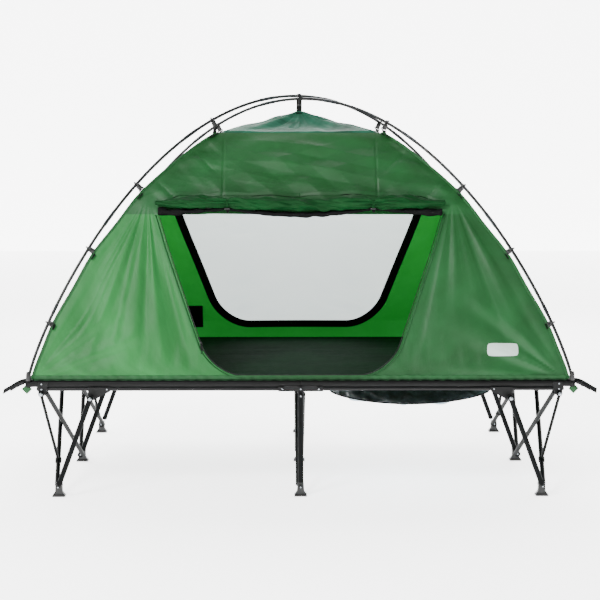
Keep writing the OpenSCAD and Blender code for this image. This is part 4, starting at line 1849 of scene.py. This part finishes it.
    def tie(self, side: Side) -> None:
        """The tie round the roll, with its toggle and loose end."""
        turn = np.linspace(-0.5 * np.pi, 1.5 * np.pi, 40)
        line = self.surface(side, np.full_like(turn, self.tie_x), turn)
        middle = line.mean(0)
        line = middle + (line - middle) * 1.05 + [0, -0.001, -0.004]
        foot = line[2]
        tail = np.stack(
            [
                np.linspace(foot[0], foot[0] + 0.004, 12),
                np.full(12, foot[1] - 0.003),
                np.linspace(foot[2], foot[2] - 0.018, 12),
            ],
            -1,
        )
        bar = np.array([(0, 0.002), (0.002, 0.0036), (0.011, 0.003), (0.020, 0.0036), (0.022, 0.002)])
        parts = [
            ribbon("loop", line, (1, 0, 0), 0.0050, 0.0016, "taffeta_roll"),
            ribbon("tail", tail, (1, 0, 0), 0.0055, 0.0016, "binding_black"),
            turned("toggle", foot + [-0.011, -0.004, -0.003], (1, 0, 0), bar, "moulded_clip", 14),
        ]
        settle(join(f"door_tie_{side.word}", parts), side)


@dataclass
class Poles:
    """The four lengths of pole, with the ferrules that join their sections."""

    form: TentForm
    radius: float = 0.0060
    ferrule_r: float = 0.0068
    ferrules: tuple[tuple[float, float], ...] = ((0.10, 0.155), (0.40, 0.445), (0.70, 0.735), (0.90, 0.915))

    def build(self) -> None:
        """Builds the two lengths of each side and where they are held."""
        for side in Side:
            for end in End:
                self.pole(side, end)

    def pole(self, side: Side, end: End) -> None:
        """One length, from the crossing to its corner."""
        angle = np.linspace(math.pi / 2, 0, 130)
        line = self.form.pole(np.cos(angle), side, end)
        parts = [tubes("shaft", [line], self.radius, "glass_fibre_pole", 16)]
        for low, high in self.ferrules:
            middle = self.form.pole(np.linspace(low, high, 14), side, end)
            parts.append(tubes("ferrule", [middle], self.ferrule_r, "ferrule_steel", 16))
        foot = self.form.pole(np.array([0.99995, 1.0]), side, end)[-1]
        boot = np.array([(-0.004, 0.0088), (0.000, 0.0098), (0.020, 0.0088), (0.030, 0.0066)])
        parts.append(turned("boot", foot, (0, 0, 1), boot, "moulded_clip"))
        obj = join(f"pole_{end.name.lower()}_{side.word}_shaft", parts)
        settle(obj, side, (f"pole_{end.name.lower()}_{side.word}",))


@dataclass
class Clips:
    """The hooks on the poles, each with the web tab that holds a ridge to it."""

    form: TentForm
    wire: float = 0.0036
    grip: float = 0.0098
    tab_half: float = 0.0128

    def build(self) -> None:
        """Builds all the clips of each side as one piece."""
        for side in Side:
            parts = [part for end in End for r in self.form.clip_places for part in self.clip(r, side, end)]
            settle(join(f"hooks_{side.word}", parts), side, (f"pole_clips_{side.word}",))

    def clip(self, r: float, side: Side, end: End) -> list[bpy.types.Object]:
        """One hook, its body, its slot and its tab.

        Args:
            r: Place along the pole.
            side: The pole's side.
            end: The pole's end.

        Returns:
            The parts.
        """
        here, ahead = self.form.pole(np.array([r, r + 0.004]), side, end)
        way = (ahead - here) / np.linalg.norm(ahead - here)
        z = self.form.height(np.array([r]))
        seam = self.form.wall(np.array([side.value * 1.0]), z, end)[0]
        down = seam - here
        down -= way * (down @ way)
        span = np.linalg.norm(down)
        down /= span
        across = np.cross(way, down)
        turn = np.radians(np.linspace(-150, 128, 24))
        arc = here + self.grip * (np.cos(turn)[:, None] * down + np.sin(turn)[:, None] * across)
        tip = arc[-1] + 0.004 * (across * 0.8 - down * 0.3)
        neck = here + down * self.grip
        reach = min(0.020, span * 0.5)
        bar = neck + down * reach
        corner = [
            bar + way * self.tab_half * a + down * b
            for a, b in ((-1, -0.002), (-1, 0.004), (1, 0.004), (1, -0.002), (-1, -0.002))
        ]
        goal = seam
        parts = [
            tubes("hook", [np.vstack([arc, tip])], self.wire, "moulded_clip", 10),
            ribbon("body", np.linspace(neck - down * 0.002, bar, 6), way, 0.0105, 0.0065, "moulded_clip"),
            tubes("slot", [np.array(corner)], 0.0019, "moulded_clip", 8),
        ]
        tab = np.linspace(bar + down * 0.002, here + down * (span + 0.002), 8)
        tab += (goal - tab[-1]) * np.linspace(0, 1, 8)[:, None]
        parts.append(ribbon("tab", tab, way, self.tab_half * 0.86, 0.0022, "strap_web"))
        patch_z = z - 0.004 + np.linspace(-0.010, 0.010, 5)
        patch = self.form.wall(np.full(5, side.value * 0.995), patch_z, end) - down * 0.0025
        parts.append(ribbon("patch", patch, across, 0.012, 0.0018, "strap_web"))
        return parts


@dataclass
class GearNet:
    """The net slung under the right half of the deck."""

    strap_half: float = 0.009

    def build(self) -> None:
        """Builds the hanging net, its hem and its six straps."""
        low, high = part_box("gear_net")
        width, run, depth = high.x - low.x, high.y - low.y, high.z - low.z - 0.004

        def form(u: Array, v: Array) -> Array:
            """A point of the net, u along X, v along Y."""
            x, y = low.x + width * u, low.y + run * v
            across, along = np.clip(4 * u * (1 - u), 1e-9, 1), np.clip(4 * v * (1 - v), 1e-9, 1)
            belly = across**0.72 * (0.72 + 0.28 * along**0.5)
            inside = ease(u / 0.06) * ease((1 - u) / 0.06) * ease(v / 0.04) * ease((1 - v) / 0.04)
            gathers = 0.0050 * (2 * lattice(x / 0.05 + 0.7 * v, v * 5, 91) - 1) + 0.0045 * (
                2 * lattice(x / 0.022, y / 0.30, 93) - 1
            )
            z = high.z - 0.003 - (depth - 0.008) * belly + gathers * inside
            return np.stack([x + 0.004 * np.sin(v * 19) * (u - 0.5), y, z], -1)

        obj, flat, area = Cloth(
            "hanging_net",
            form,
            np.linspace(0, 1, 150),
            np.linspace(0, 1, 110),
            "gear_net_black",
            "gear_net_black",
            0.0014,
            (0.4, -0.3, 0.6),
        ).build()
        t = np.linspace(0, 1, 90)
        one, nil = np.ones_like(t), np.zeros_like(t)
        edges = [form(t, nil), form(t, one), form(nil, t), form(one, t)]
        parts = [tubes("hem", edges, 0.0028, "strap_web", 8)]
        for u in (0.0, 1.0):
            for v in (0.04, 0.5, 0.96):
                start = form(np.array([u]), np.array([v]))[0]
                goal = start + np.array([0.020 * (1 if u else -1), 0, 0.002])
                parts.append(
                    ribbon(
                        "strap", np.linspace(start, goal, 6), (0, 1, 0), self.strap_half, 0.002, "strap_web"
                    ),
                )
        trim = join("net_trim", parts)
        for piece in (obj, trim):
            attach(piece, Side.RIGHT.half)
        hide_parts("gear_net")


@dataclass
class Label:
    """A small blank patch on the front wall, low on the right."""

    form: TentForm
    x: float = 0.775
    z: float = 0.562
    half_w: float = 0.060
    half_h: float = 0.024

    def build(self) -> None:
        """Lays a rounded patch over the cloth."""
        f = self.form

        def form(u: Array, v: Array) -> Array:
            """A point of the patch, u and v from -1 to 1."""
            x, z = self.x + self.half_w * u * (1 - 0.10 * v**4), self.z + self.half_h * v * (
                1 - 0.10 * u**6
            )
            point = f.wall(x / (f.base_x * f.share(z)), z, End.FRONT)
            point[..., 1] -= 0.0012
            return point

        obj, flat, area = Cloth(
            "blank_patch",
            form,
            np.linspace(-1, 1, 40),
            np.linspace(-1, 1, 24),
            "blank_label",
            "blank_label",
            0.0005,
        ).build()
        settle(obj, Side.RIGHT)


# ---- studio ----


@dataclass
class Studio:
    """A white floor and backdrop, soft lights and the camera."""

    eye: tuple[float, float, float] = (-0.0535, -6.24, 1.302)
    yaw: float = 0.524
    pitch: float = 5.595
    lens: float = 88.66
    floor: str = "#f7f7f7"
    screen: float = 4.5

    def build(self) -> None:
        """Builds the stage, the world, the lights and the camera."""
        material, tree, bsdf = shader("studio_floor")
        place = add(tree, "ShaderNodeTexCoord").outputs["Object"]
        cloud = add(tree, "ShaderNodeTexNoise", {"Scale": 0.8, "Detail": 3.0}, {"Vector": place})
        tint = ramp(tree, cloud.outputs["Fac"], [(0.3, self.floor), (0.7, "#ffffff")])
        tree.links.new(tint.outputs["Color"], bsdf.inputs["Base Color"])
        bsdf.inputs["Roughness"].default_value = 0.9
        bsdf.inputs["Emission Color"].default_value = (1, 1, 1, 1)
        bsdf.inputs["Emission Strength"].default_value = 3.0
        mesh = bpy.data.meshes.new("floor")
        mesh.from_pydata([(-30, -30, 0), (30, -30, 0), (30, 60, 0), (-30, 60, 0)], [], [(0, 1, 2, 3)])
        mesh.materials.append(material)
        floor = bpy.data.objects.new("floor", mesh)
        bpy.context.collection.objects.link(floor)
        self.backdrop()
        world = bpy.data.worlds.new("studio")
        world.use_nodes = True
        world.node_tree.nodes["Background"].inputs["Color"].default_value = (1, 1, 1, 1)
        world.node_tree.nodes["Background"].inputs["Strength"].default_value = 0.5
        bpy.context.scene.world = world
        self.light("key", (-3.2, -4.8, 4.4), (0, 0, 0.8), 1.6, 560)
        self.light("fill", (4.4, -3.8, 2.6), (0, 0, 0.7), 3.0, 45)
        self.light("back", (0.6, 4.6, 3.6), (0, 0, 0.8), 3.0, 260)
        self.camera()

    def backdrop(self) -> None:
        """A white screen that glows behind the object."""
        material, _, bsdf = shader("studio_screen")
        bsdf.inputs["Base Color"].default_value = (1, 1, 1, 1)
        bsdf.inputs["Emission Color"].default_value = (1, 1, 1, 1)
        bsdf.inputs["Emission Strength"].default_value = self.screen
        mesh = bpy.data.meshes.new("screen")
        mesh.from_pydata([(-40, 14, -1), (40, 14, -1), (40, 14, 30), (-40, 14, 30)], [], [(0, 1, 2, 3)])
        mesh.materials.append(material)
        screen = bpy.data.objects.new("screen", mesh)
        bpy.context.collection.objects.link(screen)

    def light(self, name: str, at: tuple, goal: tuple, size: float, watts: float) -> None:
        """One square soft light that faces a point."""
        lamp = bpy.data.lights.new(name, "AREA")
        lamp.size, lamp.energy = size, watts
        obj = bpy.data.objects.new(name, lamp)
        obj.location = at
        obj.rotation_euler = (Vector(goal) - Vector(at)).to_track_quat("-Z", "Y").to_euler()
        bpy.context.collection.objects.link(obj)

    def camera(self) -> None:
        """The camera, level with the cap and looking slightly down."""
        data = bpy.data.cameras.new("camera")
        data.lens = self.lens
        obj = bpy.data.objects.new("camera", data)
        obj.location = self.eye
        obj.rotation_euler = (math.radians(90 - self.pitch), 0, math.radians(-self.yaw))
        bpy.context.collection.objects.link(obj)
        bpy.context.scene.camera = obj


def main() -> None:
    """Builds every sub-assembly in order."""
    logging.basicConfig(level=logging.INFO, format="%(name)s: %(message)s")
    for finish in FINISHES:
        finish.build()
    tube_tree()
    repeat_tree()
    form = TentForm.read()
    Studio().build()
    for part in (
        SteelFrame(),
        Deck(form),
        Walls(form),
        RoofCap(form),
        Door(form),
        Poles(form),
        Clips(form),
        GearNet(),
        Label(form),
    ):
        part.build()
        LOG.info("%s built", type(part).__name__)


if __name__ == "__main__":
    main()
